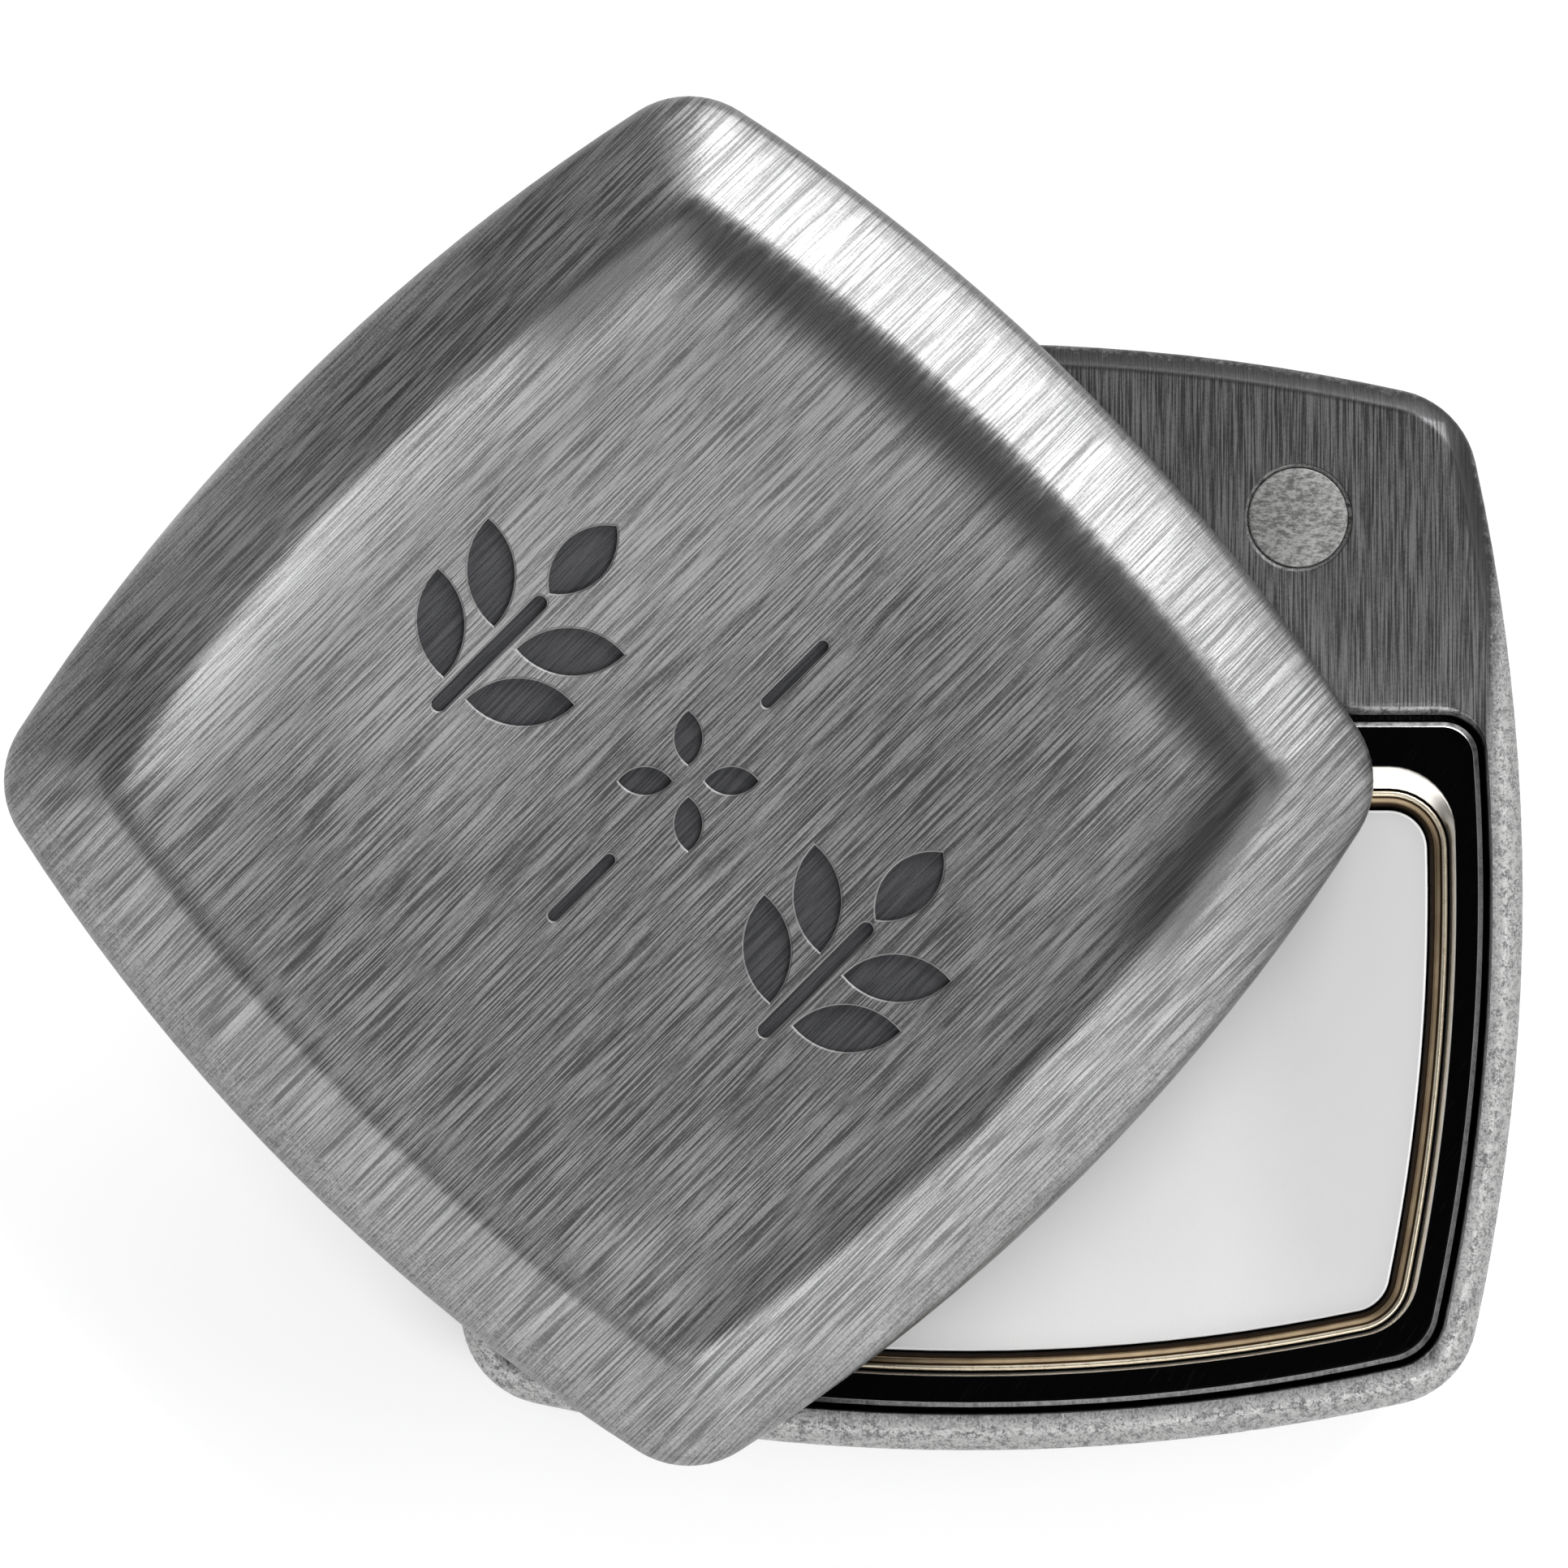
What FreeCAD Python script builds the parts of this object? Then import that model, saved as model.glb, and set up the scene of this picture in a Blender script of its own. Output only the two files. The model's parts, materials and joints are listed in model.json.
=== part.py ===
import FreeCAD
import Part
import Sketcher
import math
import os

# A pocket case for solid cologne: two die-cast pillow halves on one swivel pivot.
# Frame: the case lies on its back.  The origin is the centre of the base's flat back face, +Z is
# out of the front, and +Y runs from the cartridge towards the pivot.  The lid is modelled closed,
# standing on its own underside, and is then turned about the pivot to its stored, open place.

# Driving dimensions in millimetres: alias, value, meaning.
DIMENSIONS = [
    ("base_width", 52.0, "either half, from flat to flat"),
    ("side_radius", 95.0, "bulge of each side"),
    ("corner_radius", 4.4, "outer corners"),
    ("base_height", 9.0, "base, back face to land"),
    ("back_bevel_width", 3.7, "bevel round the back, across"),
    ("back_bevel_rise", 2.2, "bevel round the back, up"),
    ("back_corner", 1.6, "corner radius of the flat back"),
    ("rim_chamfer_width", 1.1, "chamfer round the land, across"),
    ("rim_chamfer_drop", 0.7, "chamfer round the land, down"),
    ("well_side", 24.45, "cartridge well, centre line to side wall"),
    ("well_top", 8.55, "cartridge well, centre to the wall below the land"),
    ("well_bottom", 24.3, "cartridge well, centre to bottom wall"),
    ("well_floor", 1.6, "cartridge well, floor above the back face"),
    ("well_top_corner", 1.9, "cartridge well, corners beside the land"),
    ("well_bottom_corner", 2.8, "cartridge well, outer corners"),
    ("notch_peak", 11.5, "finger notch, top of its arch"),
    ("notch_end", 18.6, "finger notch, where it leaves the straight wall"),
    ("notch_blend", 5.0, "finger notch, radius that blends into the straight wall"),
    ("notch_depth", 4.2, "finger notch, down from the land"),
    ("pivot_y", 18.6, "pivot axis above the centre"),
    ("magnet_x", 15.4, "closing magnets, each side of the pivot"),
    ("magnet_y", 17.8, "closing magnets above the centre"),
    ("magnet_radius", 2.35, "closing magnets"),
    ("magnet_height", 2.0, "closing magnets"),
    ("magnet_recess", 0.1, "magnet face below the metal"),
    ("glue_gap", 0.08, "glue line round a magnet"),
    ("floor_magnet_radius", 4.0, "magnet under the cartridge"),
    ("floor_magnet_height", 0.8, "magnet under the cartridge"),
    ("floor_magnet_y", -8.5, "magnet under the cartridge"),
    ("lid_gap", 0.2, "air between the halves"),
    ("lid_height", 5.6, "lid, underside to crest"),
    ("lid_edge_height", 2.9, "lid, upright edge"),
    ("lid_bevel", 4.8, "lid, bevel across"),
    ("crest_width", 0.6, "lid, crest between bevel and dish"),
    ("crest_corner", 1.6, "lid, corner radius of the crest"),
    ("dish_ramp", 4.3, "lid, slope from the crest to the flat of the dish"),
    ("dish_depth", 0.5, "lid, dish below the crest"),
    ("engraving_depth", 0.45, "lid, engraved sprigs"),
    ("relief_depth", 0.4, "lid, relief over the balm"),
    ("open_angle", -45.0, "lid as stored, degrees from closed"),
    ("stop_radius", 5.2, "stop boss, from the pivot axis"),
    ("stop_boss_radius", 0.65, "stop boss"),
    ("stop_boss_height", 1.0, "stop boss, down from the lid"),
    ("stop_groove_width", 1.6, "groove that the stop boss runs in"),
    ("stop_groove_depth", 1.25, "groove that the stop boss runs in"),
    ("cap_radius", 3.6, "cap over the screw"),
    ("cap_height", 0.7, "cap over the screw"),
    ("cap_seat_radius", 3.65, "recess for the cap"),
    ("cap_seat_depth", 0.75, "recess for the cap"),
    ("head_room_radius", 3.2, "room for the screw's head and washers"),
    ("head_room_top", 3.4, "top of that room, above the back face"),
    ("screw_head_radius", 2.9, "shoulder screw"),
    ("screw_head_low", 1.0, "shoulder screw, underside of the head"),
    ("screw_head_height", 1.4, "shoulder screw"),
    ("screw_head_edge", 0.25, "shoulder screw, chamfer round the head"),
    ("screw_shoulder_radius", 1.55, "shoulder screw"),
    ("screw_thread_radius", 1.2, "shoulder screw"),
    ("screw_thread_length", 2.6, "shoulder screw"),
    ("screw_thread_edge", 0.3, "shoulder screw, chamfer at the end"),
    ("screw_socket_flats", 1.5, "shoulder screw, hex socket"),
    ("screw_socket_depth", 0.9, "shoulder screw, hex socket"),
    ("bush_radius", 2.4, "pivot bush, outside"),
    ("bush_bore", 1.6, "pivot bush, inside"),
    ("washer_seat_radius", 3.6, "recess for the glide washer"),
    ("washer_seat_depth", 0.3, "recess for the glide washer"),
    ("glide_washer_radius", 3.5, "glide washer, outside"),
    ("glide_washer_bore", 1.7, "glide washer, inside"),
    ("glide_washer_height", 0.45, "glide washer"),
    ("thrust_washer_height", 0.25, "thrust washer on the screw's head"),
    ("spring_washer_thickness", 0.25, "conical spring washer, metal"),
    ("spring_washer_height", 0.6, "conical spring washer, overall"),
    ("head_washer_radius", 3.05, "thrust and spring washers, outside"),
    ("insert_radius", 2.2, "threaded insert"),
    ("insert_bore", 1.25, "threaded insert, thread"),
    ("insert_height", 3.0, "threaded insert"),
    ("insert_recess", 0.1, "threaded insert below the lid's underside"),
    ("insert_chamfer", 0.3, "threaded insert, leading end"),
    ("tray_gap", 0.25, "cartridge to well wall"),
    ("tray_low", 1.7, "cartridge tray, underside"),
    ("tray_top", 8.35, "cartridge tray, top"),
    ("tray_floor", 0.7, "cartridge tray, floor thickness"),
    ("pan_side", 22.5, "pan rim, centre line to side"),
    ("pan_top", 5.0, "pan rim, centre to top"),
    ("pan_bottom", 22.3, "pan rim, centre to bottom"),
    ("pan_corner", 2.75, "pan rim corners"),
    ("pan_clearance", 0.1, "pan to tray, all round"),
    ("ramp_low", 7.75, "slope round the pan, foot above the back face"),
    ("ramp_side", 0.25, "slope round the pan, across at the sides"),
    ("ramp_top", 1.0, "slope round the pan, across at the top"),
    ("ramp_bottom", 0.1, "slope round the pan, across at the bottom"),
    ("pan_rim_width", 0.6, "pan, rim across, roll included"),
    ("pan_rim_low", 7.65, "pan, underside of the rim"),
    ("pan_metal", 0.2, "pan, sheet thickness"),
    ("pad_thickness", 0.1, "adhesive pad under the pan"),
    ("pad_length", 30.0, "adhesive pad"),
    ("pad_width", 14.0, "adhesive pad"),
    ("balm_top", 7.45, "solid balm, surface"),
    ("balm_gap", 0.03, "solid balm to pan wall"),
]

# The engraved ornament in the lid's own plane: a leafy sprig on each side of a small flower.
SPRIG_X = 10.7
SPRIG_LOW = -6.0
STEM_HIGH = 1.3
STEM_WIDTH = 0.7
TOP_LEAF = (4.4, 2.3)
TOP_LEAF_GAP = 0.3
SIDE_LEAF = (5.0, 2.2)
SIDE_LEAF_ANGLE = 42.0
SIDE_LEAF_ROOTS = (-4.6, -1.3)
LEAF_OFF_STEM = 0.75
PETAL = (2.5, 1.3)
PETAL_OFF_CENTRE = 0.75
DASH_WIDTH = 0.55
DASH_SPAN = (4.9, 9.1)

doc = FreeCAD.newDocument("solid_cologne_case")
sheet = doc.addObject("Spreadsheet::Sheet", "Sheet")
for row, (alias, value, meaning) in enumerate(DIMENSIONS, start=1):
    sheet.set("A%d" % row, meaning)
    sheet.set("B%d" % row, str(value))
    sheet.setAlias("B%d" % row, alias)
doc.recompute()

sub_parts = []
LEAST_CHANGE = 1e-4
ON_AXIS = 1e-9


# ---------------------------------------------------------------- helpers

def size(alias):
    """A driving dimension's value."""
    return float(getattr(sheet, alias))


def new_body(name):
    body = doc.addObject("PartDesign::Body", name)
    body.Label = name
    sub_parts.append(body)
    return body


def new_sketch(body, name, height="0"):
    """A sketch on the body's own XY plane, lifted to a height given as an expression."""
    sketch = body.newObject("Sketcher::SketchObject", name)
    plane = next(item for item in body.Origin.OriginFeatures if item.Role == "XY_Plane")
    sketch.AttachmentSupport = (plane, [""])
    sketch.MapMode = "FlatFace"
    sketch.setExpression("AttachmentOffset.Base.z", height)
    return sketch


def drive(sketch, constraint, expression):
    """Add a dimension and bind it to the sheet."""
    index = sketch.addConstraint(constraint)
    sketch.setExpression("Constraints[%d]" % index, expression)


def grow(body, feature_type, sketch, name, length, upward):
    """A pad or pocket from a sketch, whose change of volume is checked."""
    before = body.Shape.Volume if body.Tip else 0.0
    feature = body.newObject(feature_type, name)
    feature.Profile = sketch
    feature.setExpression("Length", length)
    away_from_normal = feature_type.endswith("Pocket")
    feature.Reversed = (upward == away_from_normal)
    body.Tip = feature
    doc.recompute()
    change = body.Shape.Volume - before
    if (change > 0) == away_from_normal or abs(change) < LEAST_CHANGE:
        raise RuntimeError("%s changed the volume by %.4f" % (name, change))
    return feature


def pad(body, sketch, name, length, upward=True):
    return grow(body, "PartDesign::Pad", sketch, name, length, upward)


def pocket(body, sketch, name, length, upward=False):
    return grow(body, "PartDesign::Pocket", sketch, name, length, upward)


def loft(body, feature_type, name, sketches):
    """A ruled loft through sketches, whose change of volume is checked."""
    before = body.Shape.Volume if body.Tip else 0.0
    feature = body.newObject(feature_type, name)
    feature.Profile = sketches[0]
    feature.Sections = sketches[1:]
    feature.Ruled = True
    body.Tip = feature
    doc.recompute()
    added = body.Shape.Volume - before
    if (added > 0) == feature_type.endswith("SubtractiveLoft") or abs(added) < LEAST_CHANGE:
        raise RuntimeError("%s changed the volume by %.4f" % (name, added))


def add_circle(sketch, x, y, radius_expression, x_expression=None, y_expression=None):
    """A circle whose radius and centre are bound; a centre without an expression is on the axis."""
    start = FreeCAD.Vector(x, y, 0)
    circle = sketch.addGeometry(Part.Circle(start, FreeCAD.Vector(0, 0, 1), 1.0))
    drive(sketch, Sketcher.Constraint("Radius", circle, 1.0), radius_expression)
    if x_expression is None:
        sketch.addConstraint(Sketcher.Constraint("PointOnObject", circle, 3, -2))
    elif x > 0:
        drive(sketch, Sketcher.Constraint("DistanceX", -1, 1, circle, 3, x), x_expression)
    else:
        drive(sketch, Sketcher.Constraint("DistanceX", circle, 3, -1, 1, -x), x_expression)
    if y_expression is None:
        sketch.addConstraint(Sketcher.Constraint("PointOnObject", circle, 3, -1))
    elif y > 0:
        drive(sketch, Sketcher.Constraint("DistanceY", -1, 1, circle, 3, y), y_expression)
    else:
        drive(sketch, Sketcher.Constraint("DistanceY", circle, 3, -1, 1, -y), y_expression)
    return circle


def arc(centre, radius, start, end):
    """An arc running anticlockwise between two angles in radians."""
    circle = Part.Circle(FreeCAD.Vector(centre[0], centre[1], 0), FreeCAD.Vector(0, 0, 1), radius)
    if end < start:
        end += 2 * math.pi
    return Part.ArcOfCircle(circle, start, end)


def heading(start, end):
    return math.atan2(end[1] - start[1], end[0] - start[0])


def add_outline(sketch, side, top, bottom, top_corner, bottom_corner, bulged_top=True):
    """The case's outline at some inset: bulged sides and bottom, a bulged or a straight top.

    side, top and bottom are expressions for the distances from the centre, and the corners are
    expressions for the radii.  Every inset shares the centres of the outer outline's side arcs.
    """
    def value(expression):
        return eval_expression(sketch, expression)

    reach = size("side_radius") - size("base_width") / 2
    reach_expression = "Sheet.side_radius - Sheet.base_width / 2"
    side_r = reach + value(side)
    bottom_r = reach + value(bottom)
    top_y = value(top)
    r_top = value(top_corner)
    r_bottom = value(bottom_corner)
    right_c = (-reach, 0.0)
    left_c = (reach, 0.0)
    bottom_c = (0.0, reach)
    top_c = (0.0, -reach)

    def meet(radius_side, radius_end, corner):
        """Corner centre at its distances from the right side's centre and the end's centre."""
        side_d = radius_side - corner
        end_d = radius_end - corner
        across = math.hypot(reach, reach)
        along = (side_d ** 2 - end_d ** 2 + across ** 2) / (2 * across)
        height = math.sqrt(side_d ** 2 - along ** 2)
        middle_x = -reach + along / math.sqrt(2)
        middle_y = along / math.sqrt(2)
        return (middle_x + height / math.sqrt(2), middle_y - height / math.sqrt(2))

    low_right = meet(side_r, bottom_r, r_bottom)
    if bulged_top:
        mirrored = meet(side_r, reach + top_y, r_top)
        high_right = (mirrored[0], -mirrored[1])
    else:
        corner_y = top_y - r_top
        high_right = (-reach + math.sqrt((side_r - r_top) ** 2 - corner_y ** 2), corner_y)
    high_left = (-high_right[0], high_right[1])
    low_left = (-low_right[0], low_right[1])

    up = math.pi / 2
    top_right_end = heading(top_c, high_right) if bulged_top else up
    top_left_start = heading(top_c, high_left) if bulged_top else up
    pieces = [
        arc(right_c, side_r, heading(right_c, low_right), heading(right_c, high_right)),
        arc(high_right, r_top, heading(right_c, high_right), top_right_end),
    ]
    if bulged_top:
        pieces.append(arc(top_c, reach + top_y, top_right_end, top_left_start))
    else:
        pieces.append(Part.LineSegment(FreeCAD.Vector(high_right[0], top_y, 0),
                                       FreeCAD.Vector(high_left[0], top_y, 0)))
    pieces += [
        arc(high_left, r_top, top_left_start, heading(left_c, high_left)),
        arc(left_c, side_r, heading(left_c, high_left), heading(left_c, low_left)),
        arc(low_left, r_bottom, heading(left_c, low_left), heading(bottom_c, low_left)),
        arc(bottom_c, bottom_r, heading(bottom_c, low_left), heading(bottom_c, low_right)),
        arc(low_right, r_bottom, heading(bottom_c, low_right), heading(right_c, low_right)),
    ]
    first = len(sketch.Geometry)
    sketch.addGeometry(pieces)
    right, high_r, crown, high_l, left, low_l, floor, low_r = range(first, first + 8)
    order = [right, high_r, crown, high_l, left, low_l, floor, low_r]
    for index, piece in enumerate(order):
        following = order[(index + 1) % len(order)]
        sketch.addConstraint(Sketcher.Constraint("Tangent", piece, 2, following, 1))
    sketch.addConstraint(Sketcher.Constraint("PointOnObject", right, 3, -1))
    sketch.addConstraint(Sketcher.Constraint("PointOnObject", left, 3, -1))
    sketch.addConstraint(Sketcher.Constraint("PointOnObject", floor, 3, -2))
    drive(sketch, Sketcher.Constraint("DistanceX", right, 3, -1, 1, reach), reach_expression)
    drive(sketch, Sketcher.Constraint("DistanceX", -1, 1, left, 3, reach), reach_expression)
    drive(sketch, Sketcher.Constraint("DistanceY", -1, 1, floor, 3, reach), reach_expression)
    for piece in (right, left):
        drive(sketch, Sketcher.Constraint("Radius", piece, side_r), reach_expression + " + " + side)
    drive(sketch, Sketcher.Constraint("Radius", floor, bottom_r), reach_expression + " + " + bottom)
    for piece in (high_r, high_l):
        drive(sketch, Sketcher.Constraint("Radius", piece, r_top), top_corner)
    for piece in (low_r, low_l):
        drive(sketch, Sketcher.Constraint("Radius", piece, r_bottom), bottom_corner)
    if bulged_top:
        sketch.addConstraint(Sketcher.Constraint("PointOnObject", crown, 3, -2))
        drive(sketch, Sketcher.Constraint("DistanceY", crown, 3, -1, 1, reach), reach_expression)
        crown_expression = reach_expression + " + " + top
        drive(sketch, Sketcher.Constraint("Radius", crown, reach + top_y), crown_expression)
    else:
        sketch.addConstraint(Sketcher.Constraint("Horizontal", crown))
        drive(sketch, Sketcher.Constraint("DistanceY", -1, 1, crown, 1, top_y), top)


def eval_expression(sketch, expression):
    """The number that a sheet expression gives."""
    return float(sketch.evalExpression(expression))


def pillow(body, name, height, inset, corner):
    """A sketch of the whole outline, a given inset inside the outer edge."""
    sketch = new_sketch(body, name, height)
    half = "(Sheet.base_width / 2 - (%s))" % inset
    add_outline(sketch, half, half, half, corner, corner)
    return sketch


def tub(body, name, height, sizes, top_corner, bottom_corner):
    """A sketch of the cartridge's outline: sizes are side, top and bottom from the centre."""
    sketch = new_sketch(body, name, height)
    side, top, bottom = sizes
    add_outline(sketch, side, top, bottom, top_corner, bottom_corner, bulged_top=False)
    return sketch


def tube(name, outer, bore, height, place):
    """A washer or bush: one cylinder cut out of another, stood at a place."""
    solid = doc.addObject("Part::Cylinder", name + "_outside")
    solid.setExpression("Radius", outer)
    solid.setExpression("Height", height)
    hole = doc.addObject("Part::Cylinder", name + "_inside")
    hole.setExpression("Radius", bore)
    hole.setExpression("Height", height)
    ring = doc.addObject("Part::Cut", name)
    ring.Base = solid
    ring.Tool = hole
    ring.Label = name
    ring.Placement = place
    sub_parts.append(ring)
    return ring


def disc(name, radius, height, place):
    solid = doc.addObject("Part::Cylinder", name)
    solid.setExpression("Radius", radius)
    solid.setExpression("Height", height)
    solid.Label = name
    solid.Placement = place
    sub_parts.append(solid)
    return solid


def at(x, y, z):
    return FreeCAD.Placement(FreeCAD.Vector(x, y, z), FreeCAD.Rotation())


def open_lid(placement):
    """Turn a place on the closed lid to where the stored lid has it."""
    pivot = FreeCAD.Vector(0, size("pivot_y"), 0)
    turn = FreeCAD.Rotation(FreeCAD.Vector(0, 0, 1), size("open_angle"))
    return FreeCAD.Placement(FreeCAD.Vector(0, 0, 0), turn, pivot).multiply(placement)


def revolved(name, points, place):
    """A body turned about its own Z axis from a closed outline of (radius, height) points."""
    body = new_body(name)
    sketch = body.newObject("Sketcher::SketchObject", name + "_section")
    plane = next(item for item in body.Origin.OriginFeatures if item.Role == "XZ_Plane")
    sketch.AttachmentSupport = (plane, [""])
    sketch.MapMode = "FlatFace"
    count = len(points)
    for index in range(count):
        start = [eval_expression(sketch, item) for item in points[index]]
        end = [eval_expression(sketch, item) for item in points[(index + 1) % count]]
        sketch.addGeometry(Part.LineSegment(FreeCAD.Vector(*start, 0), FreeCAD.Vector(*end, 0)))
    for index in range(count):
        sketch.addConstraint(Sketcher.Constraint("Coincident", index, 2, (index + 1) % count, 1))
    for index, (radius, height) in enumerate(points):
        for kind, expression, axis in (("DistanceX", radius, -2), ("DistanceY", height, -1)):
            number = eval_expression(sketch, expression)
            if abs(number) < ON_AXIS:
                sketch.addConstraint(Sketcher.Constraint("PointOnObject", index, 1, axis))
            else:
                drive(sketch, Sketcher.Constraint(kind, -1, 1, index, 1, number), expression)
    turned = body.newObject("PartDesign::Revolution", name + "_turned")
    turned.Profile = sketch
    turned.ReferenceAxis = (sketch, ["V_Axis"])
    turned.Angle = 360
    body.Tip = turned
    body.Placement = place
    doc.recompute()
    return body


# ---------------------------------------------------------------- base shell

# Die-cast base: pillow outline, bevelled back, chamfered land, a well for the cartridge with a
# finger notch above it, magnet pockets, and the stepped pivot bore.
base = new_body("base_shell")
loft(base, "PartDesign::AdditiveLoft", "base_back_bevel", [
    pillow(base, "back_flat", "0", "Sheet.back_bevel_width", "Sheet.back_corner"),
    pillow(base, "back_edge", "Sheet.back_bevel_rise", "0", "Sheet.corner_radius"),
])
base_outline = pillow(base, "base_outline", "Sheet.back_bevel_rise", "0", "Sheet.corner_radius")
pad(base, base_outline, "base_block",
    "Sheet.base_height - Sheet.back_bevel_rise - Sheet.rim_chamfer_drop")
loft(base, "PartDesign::AdditiveLoft", "base_rim_chamfer", [
    pillow(base, "rim_edge", "Sheet.base_height - Sheet.rim_chamfer_drop", "0",
           "Sheet.corner_radius"),
    pillow(base, "land_edge", "Sheet.base_height", "Sheet.rim_chamfer_width",
           "Sheet.corner_radius - Sheet.rim_chamfer_width"),
])

well_sizes = ("Sheet.well_side", "Sheet.well_top", "Sheet.well_bottom")
well = tub(base, "well_outline", "Sheet.base_height", well_sizes,
           "Sheet.well_top_corner", "Sheet.well_bottom_corner")
pocket(base, well, "well_pocket", "Sheet.base_height - Sheet.well_floor")

# The notch is an arch that blends into the well's straight wall with a small reversed arc.
notch = new_sketch(base, "notch_outline", "Sheet.base_height")
blend = size("notch_blend")
end_x = size("notch_end")
wall_y = size("well_top")
peak_y = size("notch_peak")
arch = (end_x ** 2 + (wall_y + blend - peak_y) ** 2 - blend ** 2) / (2 * (peak_y - wall_y))
arch_c = (0.0, peak_y - arch)
right_c = (end_x, wall_y + blend)
left_c = (-end_x, wall_y + blend)
overlap = 1.0
down = -math.pi / 2
corner = [FreeCAD.Vector(end_x, wall_y, 0), FreeCAD.Vector(end_x, wall_y - overlap, 0),
          FreeCAD.Vector(-end_x, wall_y - overlap, 0), FreeCAD.Vector(-end_x, wall_y, 0)]
notch.addGeometry([
    arc(right_c, blend, heading(right_c, arch_c), down),
    arc(arch_c, arch, heading(arch_c, right_c), heading(arch_c, left_c)),
    arc(left_c, blend, down, heading(left_c, arch_c)),
    Part.LineSegment(corner[0], corner[1]),
    Part.LineSegment(corner[1], corner[2]),
    Part.LineSegment(corner[2], corner[3]),
])
for joint in ((0, 1, 1, 1), (1, 2, 2, 2)):
    notch.addConstraint(Sketcher.Constraint("Tangent", *joint))
for joint in ((0, 2, 3, 1), (3, 2, 4, 1), (4, 2, 5, 1), (5, 2, 2, 1)):
    notch.addConstraint(Sketcher.Constraint("Coincident", *joint))
for upright in (3, 5):
    notch.addConstraint(Sketcher.Constraint("Vertical", upright))
notch.addConstraint(Sketcher.Constraint("Horizontal", 4))
for blend_arc, foot_end in ((0, 2), (2, 1)):
    drive(notch, Sketcher.Constraint("Radius", blend_arc, blend), "Sheet.notch_blend")
    notch.addConstraint(Sketcher.Constraint("Vertical", blend_arc, foot_end, blend_arc, 3))
for foot in ((0, 2), (2, 1)):
    drive(notch, Sketcher.Constraint("DistanceY", -1, 1, foot[0], foot[1], wall_y), "Sheet.well_top")
drive(notch, Sketcher.Constraint("DistanceX", -1, 1, 0, 3, end_x), "Sheet.notch_end")
drive(notch, Sketcher.Constraint("DistanceX", 2, 3, -1, 1, end_x), "Sheet.notch_end")
drive(notch, Sketcher.Constraint("Radius", 1, arch),
      "(Sheet.notch_end ^ 2 + (Sheet.well_top + Sheet.notch_blend - Sheet.notch_peak) ^ 2"
      " - Sheet.notch_blend ^ 2) / (2 * (Sheet.notch_peak - Sheet.well_top))")
notch.addConstraint(Sketcher.Constraint("DistanceY", 3, 2, 3, 1, overlap))
pocket(base, notch, "notch_pocket", "Sheet.notch_depth")

base_magnets = new_sketch(base, "base_magnet_seats", "Sheet.base_height")
for sign in (-1, 1):
    add_circle(base_magnets, sign * size("magnet_x"), size("magnet_y"),
               "Sheet.magnet_radius + Sheet.glue_gap", "Sheet.magnet_x", "Sheet.magnet_y")
pocket(base, base_magnets, "base_magnet_pockets", "Sheet.magnet_height + Sheet.magnet_recess")

floor_magnet_seat = new_sketch(base, "floor_magnet_seat", "Sheet.well_floor")
add_circle(floor_magnet_seat, 0, size("floor_magnet_y"),
           "Sheet.floor_magnet_radius + Sheet.glue_gap", None, "-Sheet.floor_magnet_y")
pocket(base, floor_magnet_seat, "floor_magnet_pocket", "Sheet.floor_magnet_height")

# The pivot bore, from the land down to the back: washer seat, bush bore, head room, cap seat.
for name, height, radius, depth, upward in (
        ("washer_seat", "Sheet.base_height", "Sheet.washer_seat_radius",
         "Sheet.washer_seat_depth", False),
        ("bush_seat", "Sheet.base_height", "Sheet.bush_radius", "Sheet.base_height", False),
        ("head_room", "0", "Sheet.head_room_radius", "Sheet.head_room_top", True),
        ("cap_seat", "0", "Sheet.cap_seat_radius", "Sheet.cap_seat_depth", True)):
    seat = new_sketch(base, name, height)
    add_circle(seat, 0, size("pivot_y"), radius, None, "Sheet.pivot_y")
    pocket(base, seat, name + "_pocket", depth, upward)

# Half-turn groove for the lid's stop boss, on the cartridge side of the pivot.
groove = new_sketch(base, "stop_groove", "Sheet.base_height")
pivot = (0.0, size("pivot_y"))
mid_radius = size("stop_radius")
half_width = size("stop_groove_width") / 2
ends = [(-mid_radius, pivot[1]), (mid_radius, pivot[1])]
groove.addGeometry([
    arc(pivot, mid_radius + half_width, math.pi, 2 * math.pi),
    arc(ends[1], half_width, 0.0, math.pi),
    arc(pivot, mid_radius - half_width, math.pi, 2 * math.pi),
    arc(ends[0], half_width, 0.0, math.pi),
])
for joint in ((0, 2, 1, 1), (1, 2, 2, 2), (2, 1, 3, 1), (3, 2, 0, 1)):
    groove.addConstraint(Sketcher.Constraint("Tangent", *joint))
groove.addConstraint(Sketcher.Constraint("PointOnObject", 0, 3, -2))
drive(groove, Sketcher.Constraint("DistanceY", -1, 1, 0, 3, pivot[1]), "Sheet.pivot_y")
drive(groove, Sketcher.Constraint("DistanceY", -1, 1, 1, 3, pivot[1]), "Sheet.pivot_y")
drive(groove, Sketcher.Constraint("DistanceY", -1, 1, 3, 3, pivot[1]), "Sheet.pivot_y")
drive(groove, Sketcher.Constraint("DistanceX", -1, 1, 1, 3, mid_radius), "Sheet.stop_radius")
drive(groove, Sketcher.Constraint("Radius", 0, mid_radius + half_width),
      "Sheet.stop_radius + Sheet.stop_groove_width / 2")
drive(groove, Sketcher.Constraint("Radius", 2, mid_radius - half_width),
      "Sheet.stop_radius - Sheet.stop_groove_width / 2")
pocket(base, groove, "stop_groove_pocket", "Sheet.stop_groove_depth")


# ---------------------------------------------------------------- magnets in the base

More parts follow.
